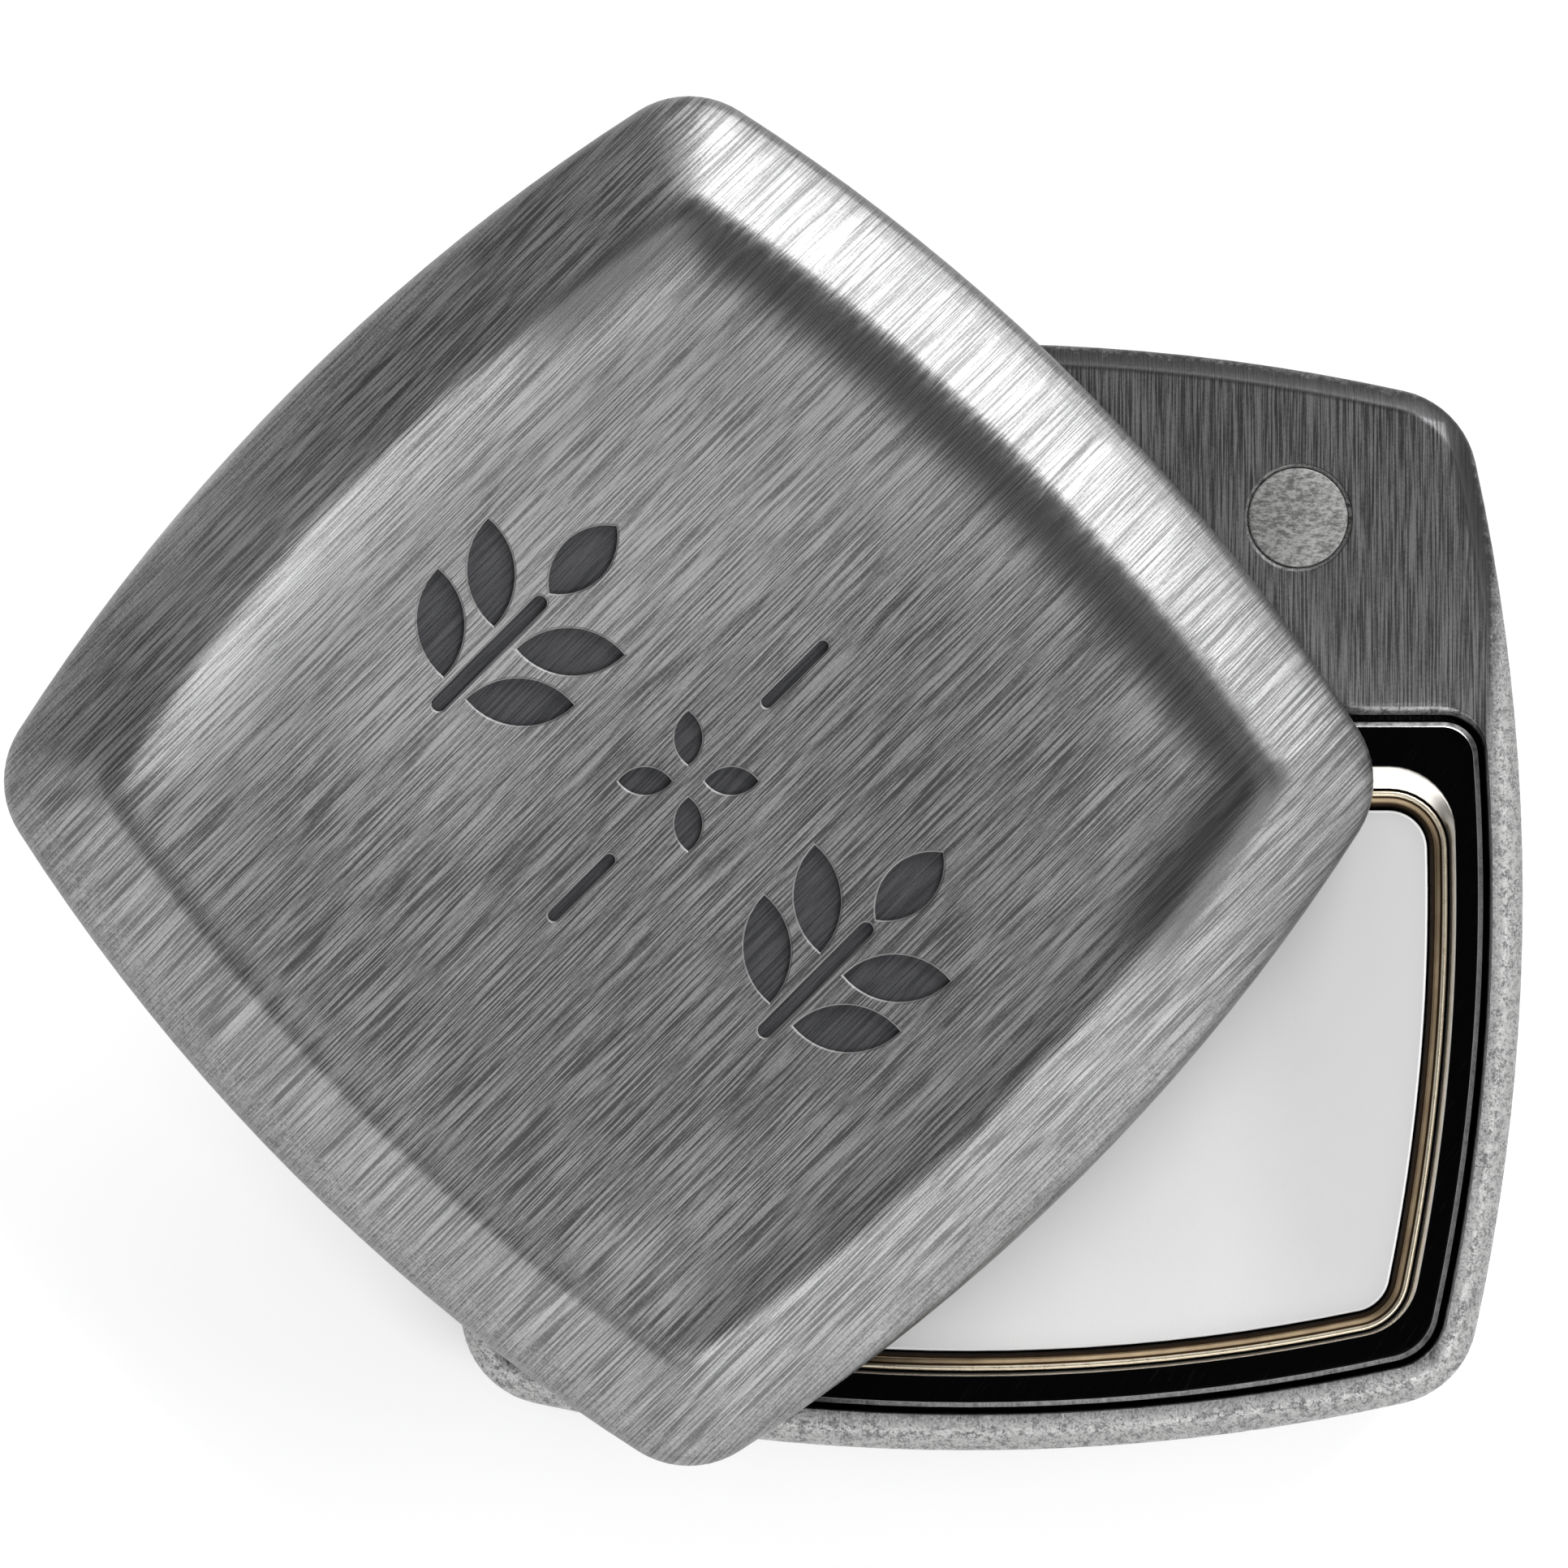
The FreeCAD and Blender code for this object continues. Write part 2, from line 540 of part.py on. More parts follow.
seat_z = size("base_height") - size("magnet_recess") - size("magnet_height")
for side, sign in (("left", -1), ("right", 1)):
    disc("base_magnet_" + side, "Sheet.magnet_radius", "Sheet.magnet_height",
         at(sign * size("magnet_x"), size("magnet_y"), seat_z))
disc("cartridge_magnet", "Sheet.floor_magnet_radius", "Sheet.floor_magnet_height",
     at(0, size("floor_magnet_y"), size("well_floor") - size("floor_magnet_height")))


# ---------------------------------------------------------------- lid shell

# Die-cast lid: an upright edge, a bevel up to a crest, and a shallow dish with a flat middle that
# carries the engraving.  Its underside has a relief over the balm and a boss that stops it.
lid = new_body("lid_shell")
lid_z = size("base_height") + size("lid_gap")
lid_outline = pillow(lid, "lid_outline", "0", "0", "Sheet.corner_radius")
pad(lid, lid_outline, "lid_edge", "Sheet.lid_edge_height")
loft(lid, "PartDesign::AdditiveLoft", "lid_bevel", [
    pillow(lid, "lid_bevel_foot", "Sheet.lid_edge_height", "0", "Sheet.corner_radius"),
    pillow(lid, "lid_crest", "Sheet.lid_height", "Sheet.lid_bevel", "Sheet.crest_corner"),
])
loft(lid, "PartDesign::SubtractiveLoft", "lid_dish", [
    pillow(lid, "dish_rim", "Sheet.lid_height", "Sheet.lid_bevel + Sheet.crest_width",
           "Sheet.crest_corner"),
    pillow(lid, "dish_flat", "Sheet.lid_height - Sheet.dish_depth",
           "Sheet.lid_bevel + Sheet.crest_width + Sheet.dish_ramp", "Sheet.crest_corner"),
])


def add_leaf(sketch, x, y, angle, leaf_size):
    """A pointed leaf from two arcs, its root at x, y and its tip at an angle in degrees."""
    length, width = leaf_size
    radius = (length ** 2 / 4 + width ** 2 / 4) / width
    direction = math.radians(angle)
    along = (math.cos(direction), math.sin(direction))
    across = (-along[1], along[0])
    half_turn = math.asin(length / 2 / radius)
    for side in (1, -1):
        off = radius - width / 2
        centre = (x + along[0] * length / 2 - side * across[0] * off,
                  y + along[1] * length / 2 - side * across[1] * off)
        middle = direction + side * math.pi / 2
        sketch.addGeometry(arc(centre, radius, middle - half_turn, middle + half_turn))


def add_bar(sketch, x, low, high, width):
    """An upright bar with round ends."""
    half = width / 2
    sketch.addGeometry([
        arc((x, high - half), half, 0.0, math.pi),
        Part.LineSegment(FreeCAD.Vector(x - half, high - half, 0),
                         FreeCAD.Vector(x - half, low + half, 0)),
        arc((x, low + half), half, math.pi, 2 * math.pi),
        Part.LineSegment(FreeCAD.Vector(x + half, low + half, 0),
                         FreeCAD.Vector(x + half, high - half, 0)),
    ])


engraving = new_sketch(lid, "engraving", "Sheet.lid_height - Sheet.dish_depth")
for side in (-1, 1):
    sprig_x = side * SPRIG_X
    add_bar(engraving, sprig_x, SPRIG_LOW, STEM_HIGH, STEM_WIDTH)
    add_leaf(engraving, sprig_x, STEM_HIGH + TOP_LEAF_GAP, 90.0, TOP_LEAF)
    for root in SIDE_LEAF_ROOTS:
        add_leaf(engraving, sprig_x + LEAF_OFF_STEM, root, SIDE_LEAF_ANGLE, SIDE_LEAF)
        add_leaf(engraving, sprig_x - LEAF_OFF_STEM, root, 180.0 - SIDE_LEAF_ANGLE, SIDE_LEAF)
for quarter in range(4):
    angle = 45.0 + 90.0 * quarter
    root_x = PETAL_OFF_CENTRE * math.cos(math.radians(angle))
    root_y = PETAL_OFF_CENTRE * math.sin(math.radians(angle))
    add_leaf(engraving, root_x, root_y, angle, PETAL)
low_dash, high_dash = DASH_SPAN
add_bar(engraving, 0.0, low_dash, high_dash, DASH_WIDTH)
add_bar(engraving, 0.0, -high_dash, -low_dash, DASH_WIDTH)
pocket(lid, engraving, "engraving_pocket", "Sheet.engraving_depth")

relief = tub(lid, "relief_outline", "0", ("Sheet.pan_side", "Sheet.pan_top", "Sheet.pan_bottom"),
             "Sheet.pan_corner", "Sheet.pan_corner")
pocket(lid, relief, "relief_pocket", "Sheet.relief_depth", upward=True)

lid_magnets = new_sketch(lid, "lid_magnet_seats")
for sign in (-1, 1):
    add_circle(lid_magnets, sign * size("magnet_x"), size("magnet_y"),
               "Sheet.magnet_radius + Sheet.glue_gap", "Sheet.magnet_x", "Sheet.magnet_y")
pocket(lid, lid_magnets, "lid_magnet_pockets", "Sheet.magnet_height + Sheet.magnet_recess",
       upward=True)

insert_seat = new_sketch(lid, "insert_seat")
add_circle(insert_seat, 0, size("pivot_y"), "Sheet.insert_radius", None, "Sheet.pivot_y")
pocket(lid, insert_seat, "insert_pocket",
       "Sheet.insert_height + Sheet.insert_recess + Sheet.insert_chamfer", upward=True)

# Closed, the boss stands at the groove's right end; opening carries it round below the pivot.
stop_boss = new_sketch(lid, "stop_boss")
add_circle(stop_boss, size("stop_radius"), size("pivot_y"), "Sheet.stop_boss_radius",
           "Sheet.stop_radius", "Sheet.pivot_y")
pad(lid, stop_boss, "stop_boss_pad", "Sheet.stop_boss_height", upward=False)
lid.Placement = open_lid(at(0, 0, lid_z))

for side, sign in (("left", -1), ("right", 1)):
    disc("lid_magnet_" + side, "Sheet.magnet_radius", "Sheet.magnet_height",
         open_lid(at(sign * size("magnet_x"), size("magnet_y"), lid_z + size("magnet_recess"))))


# ---------------------------------------------------------------- pivot hardware

pivot_y = size("pivot_y")
insert_z = lid_z + size("insert_recess")
revolved("pivot_insert", [
    ("Sheet.insert_bore", "0"),
    ("Sheet.insert_radius", "0"),
    ("Sheet.insert_radius", "Sheet.insert_height - Sheet.insert_chamfer"),
    ("Sheet.insert_radius - Sheet.insert_chamfer", "Sheet.insert_height"),
    ("Sheet.insert_bore", "Sheet.insert_height"),
], at(0, pivot_y, insert_z))

shoulder_end = "(Sheet.base_height + Sheet.lid_gap + Sheet.insert_recess - Sheet.screw_head_low)"
thread_end = shoulder_end + " + Sheet.screw_thread_length"
screw = revolved("pivot_screw", [
    ("0", "0"),
    ("Sheet.screw_head_radius - Sheet.screw_head_edge", "0"),
    ("Sheet.screw_head_radius", "Sheet.screw_head_edge"),
    ("Sheet.screw_head_radius", "Sheet.screw_head_height"),
    ("Sheet.screw_shoulder_radius", "Sheet.screw_head_height"),
    ("Sheet.screw_shoulder_radius", shoulder_end),
    ("Sheet.screw_thread_radius", shoulder_end),
    ("Sheet.screw_thread_radius", thread_end + " - Sheet.screw_thread_edge"),
    ("Sheet.screw_thread_radius - Sheet.screw_thread_edge", thread_end),
    ("0", thread_end),
], at(0, pivot_y, size("screw_head_low")))
socket = new_sketch(screw, "screw_socket")
corner_distance = size("screw_socket_flats") / math.sqrt(3)
turn = math.pi / 3
ends = []
for index in range(6):
    ends.append(FreeCAD.Vector(math.cos(index * turn), math.sin(index * turn), 0) * corner_distance)
for index in range(6):
    socket.addGeometry(Part.LineSegment(ends[index], ends[(index + 1) % 6]))
for index in range(6):
    socket.addConstraint(Sketcher.Constraint("Coincident", index, 2, (index + 1) % 6, 1))
socket_rim = Part.Circle(FreeCAD.Vector(0, 0, 0), FreeCAD.Vector(0, 0, 1), corner_distance)
rim = socket.addGeometry(socket_rim)
socket.setConstruction(rim, True)
socket.addConstraint(Sketcher.Constraint("Coincident", rim, 3, -1, 1))
drive(socket, Sketcher.Constraint("Radius", rim, corner_distance),
      "Sheet.screw_socket_flats / sqrt(3)")
for index in range(6):
    socket.addConstraint(Sketcher.Constraint("PointOnObject", index, 1, rim))
for index in range(1, 6):
    socket.addConstraint(Sketcher.Constraint("Equal", 0, index))
socket.addConstraint(Sketcher.Constraint("PointOnObject", 0, 1, -1))
pocket(screw, socket, "screw_socket_pocket", "Sheet.screw_socket_depth", upward=True)

bush_height = "Sheet.base_height - Sheet.washer_seat_depth - Sheet.head_room_top"
tube("pivot_bush", "Sheet.bush_radius", "Sheet.bush_bore", bush_height,
     at(0, pivot_y, size("head_room_top")))
tube("glide_washer", "Sheet.glide_washer_radius", "Sheet.glide_washer_bore",
     "Sheet.glide_washer_height", at(0, pivot_y, size("base_height") - size("washer_seat_depth")))
head_top = size("screw_head_low") + size("screw_head_height")
tube("thrust_washer", "Sheet.head_washer_radius", "Sheet.bush_bore", "Sheet.thrust_washer_height",
     at(0, pivot_y, head_top))
spring_rise = "(Sheet.spring_washer_height - Sheet.spring_washer_thickness)"
revolved("spring_washer", [
    ("Sheet.glide_washer_bore", "0"),
    ("Sheet.head_washer_radius", spring_rise),
    ("Sheet.head_washer_radius", "Sheet.spring_washer_height"),
    ("Sheet.glide_washer_bore", "Sheet.spring_washer_thickness"),
], at(0, pivot_y, size("head_room_top") - size("spring_washer_height")))
disc("pivot_cap", "Sheet.cap_radius", "Sheet.cap_height", at(0, pivot_y, 0))


# ---------------------------------------------------------------- cartridge

# Moulded tray: an outer block the size of the well, a seat for the pan's rim and a deep pocket.
tray = new_body("cartridge_tray")
tray_sizes = tuple("(%s - Sheet.tray_gap)" % item for item in well_sizes)
tray_outline = tub(tray, "tray_outline", "Sheet.tray_low", tray_sizes,
                   "Sheet.well_top_corner - Sheet.tray_gap",
                   "Sheet.well_bottom_corner - Sheet.tray_gap")
pad(tray, tray_outline, "tray_block", "Sheet.tray_top - Sheet.tray_low")
pan_sizes = ("Sheet.pan_side", "Sheet.pan_top", "Sheet.pan_bottom")


def inset_sizes(inset):
    """The pan's outline, moved in by an expression; a negative one moves it out."""
    return tuple("(%s - (%s))" % (item, inset) for item in pan_sizes)


seat = tub(tray, "pan_rim_seat", "Sheet.tray_top", inset_sizes("0 - Sheet.pan_clearance"),
           "Sheet.pan_corner + Sheet.pan_clearance", "Sheet.pan_corner + Sheet.pan_clearance")
pocket(tray, seat, "pan_rim_seat_pocket", "Sheet.tray_top - Sheet.pan_rim_low")
pan_wall = "Sheet.pan_rim_width"
pan_wall_corner = "Sheet.pan_corner - Sheet.pan_rim_width"
cavity = tub(tray, "pan_cavity", "Sheet.pan_rim_low",
             inset_sizes(pan_wall + " - Sheet.pan_clearance"),
             pan_wall_corner + " + Sheet.pan_clearance", pan_wall_corner + " + Sheet.pan_clearance")
pocket(tray, cavity, "pan_cavity_pocket", "Sheet.pan_rim_low - Sheet.tray_low - Sheet.tray_floor")

# The slope round the pan: wide above it, where a finger reaches the rim, and narrow elsewhere.
ramp_foot_corner = "Sheet.pan_corner + Sheet.pan_clearance"
ramp_head = ("(Sheet.pan_side + Sheet.pan_clearance + Sheet.ramp_side)",
             "(Sheet.pan_top + Sheet.pan_clearance + Sheet.ramp_top)",
             "(Sheet.pan_bottom + Sheet.pan_clearance + Sheet.ramp_bottom)")
loft(tray, "PartDesign::SubtractiveLoft", "tray_ramp", [
    tub(tray, "ramp_head", "Sheet.tray_top", ramp_head, "Sheet.pan_corner + Sheet.ramp_side",
        "Sheet.pan_corner + Sheet.ramp_side"),
    tub(tray, "ramp_foot", "Sheet.ramp_low", inset_sizes("0 - Sheet.pan_clearance"),
        ramp_foot_corner, ramp_foot_corner),
])

# Adhesive pad that holds the pan down in the tray.
glue_pad = doc.addObject("Part::Box", "pan_adhesive_pad")
glue_pad.Label = "pan_adhesive_pad"
glue_pad.setExpression("Length", "Sheet.pad_length")
glue_pad.setExpression("Width", "Sheet.pad_width")
glue_pad.setExpression("Height", "Sheet.pad_thickness")
tray_inside = size("tray_low") + size("tray_floor")
pan_middle = (size("pan_top") - size("pan_bottom")) / 2
glue_pad.Placement = at(-size("pad_length") / 2, pan_middle - size("pad_width") / 2, tray_inside)
sub_parts.append(glue_pad)

# Pressed tinplate pan: a flat rim on the tray's seat and a straight-sided dish below it.
pan = new_body("refill_pan")
pan_low = "(Sheet.tray_low + Sheet.tray_floor + Sheet.pad_thickness)"
pan_body = tub(pan, "pan_dish", pan_low, inset_sizes(pan_wall), pan_wall_corner, pan_wall_corner)
pad(pan, pan_body, "pan_dish_block", "Sheet.pan_rim_low - " + pan_low)
pan_rim = tub(pan, "pan_rim", "Sheet.pan_rim_low", pan_sizes, "Sheet.pan_corner", "Sheet.pan_corner")
pad(pan, pan_rim, "pan_rim_block", "Sheet.pan_metal")
inner_inset = "Sheet.pan_rim_width + Sheet.pan_metal"
inner_corner = "Sheet.pan_corner - Sheet.pan_rim_width - Sheet.pan_metal"
pan_inside = tub(pan, "pan_inside", "Sheet.pan_rim_low + Sheet.pan_metal", inset_sizes(inner_inset),
                 inner_corner, inner_corner)
pocket(pan, pan_inside, "pan_inside_pocket", "Sheet.pan_rim_low - " + pan_low)

# Solid balm cast into the pan.
balm = new_body("solid_balm")
balm_outline = tub(balm, "balm_outline", pan_low + " + Sheet.pan_metal + Sheet.balm_gap",
                   inset_sizes(inner_inset + " + Sheet.balm_gap"),
                   inner_corner + " - Sheet.balm_gap", inner_corner + " - Sheet.balm_gap")
pad(balm, balm_outline, "balm_block",
    "Sheet.balm_top - " + pan_low + " - Sheet.pan_metal - Sheet.balm_gap")


# ---------------------------------------------------------------- check and write

doc.recompute()
for item in doc.Objects:
    if "Invalid" in item.State or "Error" in item.State:
        raise RuntimeError("%s did not recompute: %s" % (item.Label, item.State))
for item in sub_parts:
    if item.Shape.isNull() or not item.Shape.isValid() or not item.Shape.Solids:
        raise RuntimeError("%s is not a valid solid" % item.Label)

os.makedirs("parts", exist_ok=True)
for item in sub_parts:
    item.Shape.exportStep("parts/%s.step" % item.Label)
    box = item.Shape.BoundBox
    print("%-18s %8.1f mm3  x %6.2f %6.2f  y %6.2f %6.2f  z %5.2f %5.2f" % (
        item.Label, item.Shape.Volume, box.XMin, box.XMax, box.YMin, box.YMax, box.ZMin, box.ZMax))
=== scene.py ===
import json
import math

import bmesh
import bpy
from mathutils import Matrix, Vector


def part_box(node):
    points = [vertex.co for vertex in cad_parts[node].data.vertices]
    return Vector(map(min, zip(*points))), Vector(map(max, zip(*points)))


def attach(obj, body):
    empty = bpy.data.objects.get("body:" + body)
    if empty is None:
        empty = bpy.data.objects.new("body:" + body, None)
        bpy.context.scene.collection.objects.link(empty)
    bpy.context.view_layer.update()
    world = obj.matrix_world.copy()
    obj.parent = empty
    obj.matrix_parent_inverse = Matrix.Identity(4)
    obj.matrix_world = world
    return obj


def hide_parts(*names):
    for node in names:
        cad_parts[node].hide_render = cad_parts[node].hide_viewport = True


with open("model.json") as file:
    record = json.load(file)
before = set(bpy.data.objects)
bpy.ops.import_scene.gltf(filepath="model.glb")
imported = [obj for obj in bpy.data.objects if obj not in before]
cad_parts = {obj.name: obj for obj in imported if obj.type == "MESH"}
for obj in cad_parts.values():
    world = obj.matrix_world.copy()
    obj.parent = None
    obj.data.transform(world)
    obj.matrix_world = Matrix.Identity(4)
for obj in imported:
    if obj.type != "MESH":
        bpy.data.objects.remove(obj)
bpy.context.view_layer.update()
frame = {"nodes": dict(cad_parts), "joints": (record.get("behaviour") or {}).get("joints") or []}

# ---------------------------------------------------------------- lid casting
# The lid is one zinc die casting: an upright edge, a bevel up to a soft crest and a shallow dish
# whose flat middle carries the engraved sprigs.  It is brushed along its own height, dipped in a
# dark antique bath and relieved by hand, so the recesses stay dark and the crests come up bright.

MM = 0.001
SIDE_RADIUS = 95.0
OUTER_CORNER = 4.4
INNER_CORNER = 1.6
CORNER_LOSS = 0.6
SIDE_STEPS = 20
CORNER_STEPS = 10
SPREAD = 10.0
SHARP_ANGLE = math.radians(32)
WELD = 0.0005

base_low, base_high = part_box("base_shell")
_, lid_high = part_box("lid_shell")
HALF_WIDTH = round(base_high.x / MM, 2)
LAND = base_high.z / MM
LID_TOP = lid_high.z / MM
LID_GAP = 0.2
LID_HEIGHT = LID_TOP - LAND - LID_GAP
ENGRAVING_DEPTH = 0.45
ENGRAVING_FLARE = 0.1

swivel = frame["joints"][0]
PIVOT = Vector(swivel["pos_m"]) / MM
PIVOT.z = 0.0
OPEN_ANGLE = -math.radians(swivel["range_deg"][1])
OPENED = (Matrix.Translation(PIVOT * MM) @ Matrix.Rotation(OPEN_ANGLE, 4, "Z")
          @ Matrix.Translation(-PIVOT * MM))
REACH = SIDE_RADIUS - HALF_WIDTH


def point(x, y, z):
    return Vector((x, y, z)) * MM


def turn_from(centre, start, end):
    """The anticlockwise angle at a centre from one point to another."""
    first = math.atan2(start[1] - centre[1], start[0] - centre[0])
    last = math.atan2(end[1] - centre[1], end[0] - centre[0])
    return (last - first) % (2 * math.pi)


def on_circle(centre, towards, radius):
    reach = math.hypot(towards[0] - centre[0], towards[1] - centre[1])
    return (centre[0] + (towards[0] - centre[0]) * radius / reach,
            centre[1] + (towards[1] - centre[1]) * radius / reach)


def draw(bm, start, height, stretches):
    """A closed loop of edges: arcs are (centre, angle, steps), straight runs (end, None, steps)."""
    known = set(bm.edges)
    first = bm.verts.new(point(start[0], start[1], height))
    last = first
    for number, (target, angle, steps) in enumerate(stretches):
        closing = number == len(stretches) - 1
        taken = steps - 1 if closing else steps
        if angle is None:
            step = (point(target[0], target[1], height) - last.co) / steps
            for _ in range(taken):
                grown = bmesh.ops.extrude_vert_indiv(bm, verts=[last])
                last = grown["verts"][0]
                bmesh.ops.translate(bm, verts=[last], vec=step)
            continue
        spun = bmesh.ops.spin(bm, geom=[last], cent=point(target[0], target[1], height),
                              axis=(0, 0, 1), angle=angle * taken / steps, steps=taken)
        last = next(item for item in spun["geom_last"] if isinstance(item, bmesh.types.BMVert))
    bm.edges.new((last, first))
    return [edge for edge in bm.edges if edge not in known]


def case_outline(bm, side, top, bottom, corners, height, straight_top=False):
    """The case's outline at some inset; a straight top is the cartridge's outline.

    Every inset shares the centres of the outer outline's four side arcs.
    """
    top_corner, bottom_corner = corners
    right_c = (-REACH, 0.0)
    left_c = (REACH, 0.0)
    bottom_c = (0.0, REACH)
    top_c = (0.0, -REACH)

    def meet(end_reach, corner):
        side_d = REACH + side - corner
        end_d = REACH + end_reach - corner
        across = math.hypot(REACH, REACH)
        along = (side_d ** 2 - end_d ** 2 + across ** 2) / (2 * across)
        off = math.sqrt(side_d ** 2 - along ** 2)
        return (-REACH + (along + off) / math.sqrt(2), (along - off) / math.sqrt(2))

    low = meet(bottom, bottom_corner)
    if straight_top:
        high_y = top - top_corner
        high = (-REACH + math.sqrt((REACH + side - top_corner) ** 2 - high_y ** 2), high_y)
        high_top = (high[0], top)
    else:
        mirrored = meet(top, top_corner)
        high = (mirrored[0], -mirrored[1])
        high_top = on_circle(top_c, high, REACH + top)
    low_left = (-low[0], low[1])
    high_left = (-high[0], high[1])
    side_low = on_circle(right_c, low, REACH + side)
    side_high = on_circle(right_c, high, REACH + side)
    floor_right = on_circle(bottom_c, low, REACH + bottom)
    stretches = [(right_c, turn_from(right_c, side_low, side_high), SIDE_STEPS),
                 (high, turn_from(high, side_high, high_top), CORNER_STEPS)]
    if straight_top:
        stretches.append(((-high_top[0], top), None, SIDE_STEPS))
    else:
        stretches.append((top_c, turn_from(top_c, high, high_left), SIDE_STEPS))
    stretches += [
        (high_left, turn_from(high, side_high, high_top), CORNER_STEPS),
        (left_c, turn_from(left_c, high_left, low_left), SIDE_STEPS),
        (low_left, turn_from(low, floor_right, side_low), CORNER_STEPS),
        (bottom_c, turn_from(bottom_c, low_left, low), SIDE_STEPS),
        (low, turn_from(low, floor_right, side_low), CORNER_STEPS),
    ]
    return draw(bm, side_low, height, stretches)


def pillow(bm, inset, height):
    """The whole outline, moved in; its corners tighten as it goes."""
    half = HALF_WIDTH - inset
    corner = max(INNER_CORNER, OUTER_CORNER - CORNER_LOSS * inset)
    return case_outline(bm, half, half, half, (corner, corner), height)


def walk(stretches):
    """(inset, height) points along a profile of (length, first tilt, last tilt, steps)."""
    inset, height = 0.0, 0.0
    points = [(inset, height)]
    for length, first, last, steps in stretches:
        for step in range(steps):
            tilt = math.radians(first + (last - first) * (step + 0.5) / steps)
            inset += math.cos(tilt) * length / steps
            height += math.sin(tilt) * length / steps
            points.append((inset, height))
    return points


def quarter_round(radius, steps):
    """(out, down) points round a softened edge, from the wall up to the level."""
    angles = [math.pi / 2 * step / steps for step in range(steps + 1)]
    return [(radius * (1 - math.cos(angle)), radius * (1 - math.sin(angle))) for angle in angles]


def skin(bm, loops):
    """Bridge each loop to the next, close the two ends and face everything outwards.

    The loops are spread far apart while they are bridged, so level steps bridge cleanly too.
    """
    heights = [loop[0].verts[0].co.z for loop in loops]
    for number, loop in enumerate(loops):
        for edge in loop:
            for vert in edge.verts:
                vert.co.z = number * SPREAD * MM
    for lower, upper in zip(loops, loops[1:]):
        bmesh.ops.bridge_loops(bm, edges=lower + upper)
    for loop in (loops[0], loops[-1]):
        bmesh.ops.contextual_create(bm, geom=loop)
    for loop, height in zip(loops, heights):
        for edge in loop:
            for vert in edge.verts:
                vert.co.z = height
    bm.normal_update()
    bmesh.ops.recalc_face_normals(bm, faces=bm.faces)


def to_object(bm, name, placed=None):
    """Finish a bmesh as an object whose place is in its mesh."""
    mesh = bpy.data.meshes.new(name)
    bm.to_mesh(mesh)
    bm.free()
    if placed is not None:
        mesh.transform(placed)
    made = bpy.data.objects.new(name, mesh)
    bpy.context.scene.collection.objects.link(made)
    return made


def cut(made, cutters):
    """Cut one solid with others, then drop the cutters."""
    for cutter in cutters:
        modifier = made.modifiers.new("cut", "BOOLEAN")
        modifier.operation = "DIFFERENCE"
        modifier.solver = "EXACT"
        modifier.object = cutter
    graph = bpy.context.evaluated_depsgraph_get()
    whole = made.data
    made.data = bpy.data.meshes.new_from_object(made.evaluated_get(graph))
    made.data.name = made.name
    made.modifiers.clear()
    bpy.data.meshes.remove(whole)
    for cutter in cutters:
        bpy.data.meshes.remove(cutter.data)


def smooth(made, angle=SHARP_ANGLE):
    """Round shading, broken at the real edges."""
    bm = bmesh.new()
    bm.from_mesh(made.data)
    bmesh.ops.remove_doubles(bm, verts=bm.verts, dist=WELD * MM)
    for face in bm.faces:
        face.smooth = True
    for edge in bm.edges:
        edge.smooth = len(edge.link_faces) == 2 and edge.calc_face_angle(0.0) < angle
    bm.to_mesh(made.data)
    bm.free()


def place(made, body, slot, finish, *nodes):
    """Give a piece its finish and its body, and hide the CAD nodes that it stands for."""
    made.data.materials.clear()
    made.data.materials.append(finish)
    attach(made, body)
    if nodes:
        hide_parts(*nodes)


class Value:
    """A shader value that plain arithmetic works on."""

    def __init__(self, tree, socket):
        self.tree = tree
        self.socket = socket

    def math(self, operation, *operands):
        node = self.tree.nodes.new("ShaderNodeMath")
        node.operation = operation
        for index, item in enumerate(operands):
            if isinstance(item, Value):
                self.tree.links.new(item.socket, node.inputs[index])
            else:
                node.inputs[index].default_value = item
        return Value(self.tree, node.outputs[0])

    def __add__(self, other):
        return self.math("ADD", self, other)

    def __sub__(self, other):
        return self.math("SUBTRACT", self, other)

    def __mul__(self, other):
        return self.math("MULTIPLY", self, other)

    def __pow__(self, other):
        return self.math("POWER", self, other)

    def __radd__(self, other):
        return self.math("ADD", other, self)

    def __rsub__(self, other):
        return self.math("SUBTRACT", other, self)

    def __rmul__(self, other):
        return self.math("MULTIPLY", other, self)

    def least(self, other):
        return self.math("MINIMUM", self, other)

    def most(self, other):
        return self.math("MAXIMUM", self, other)


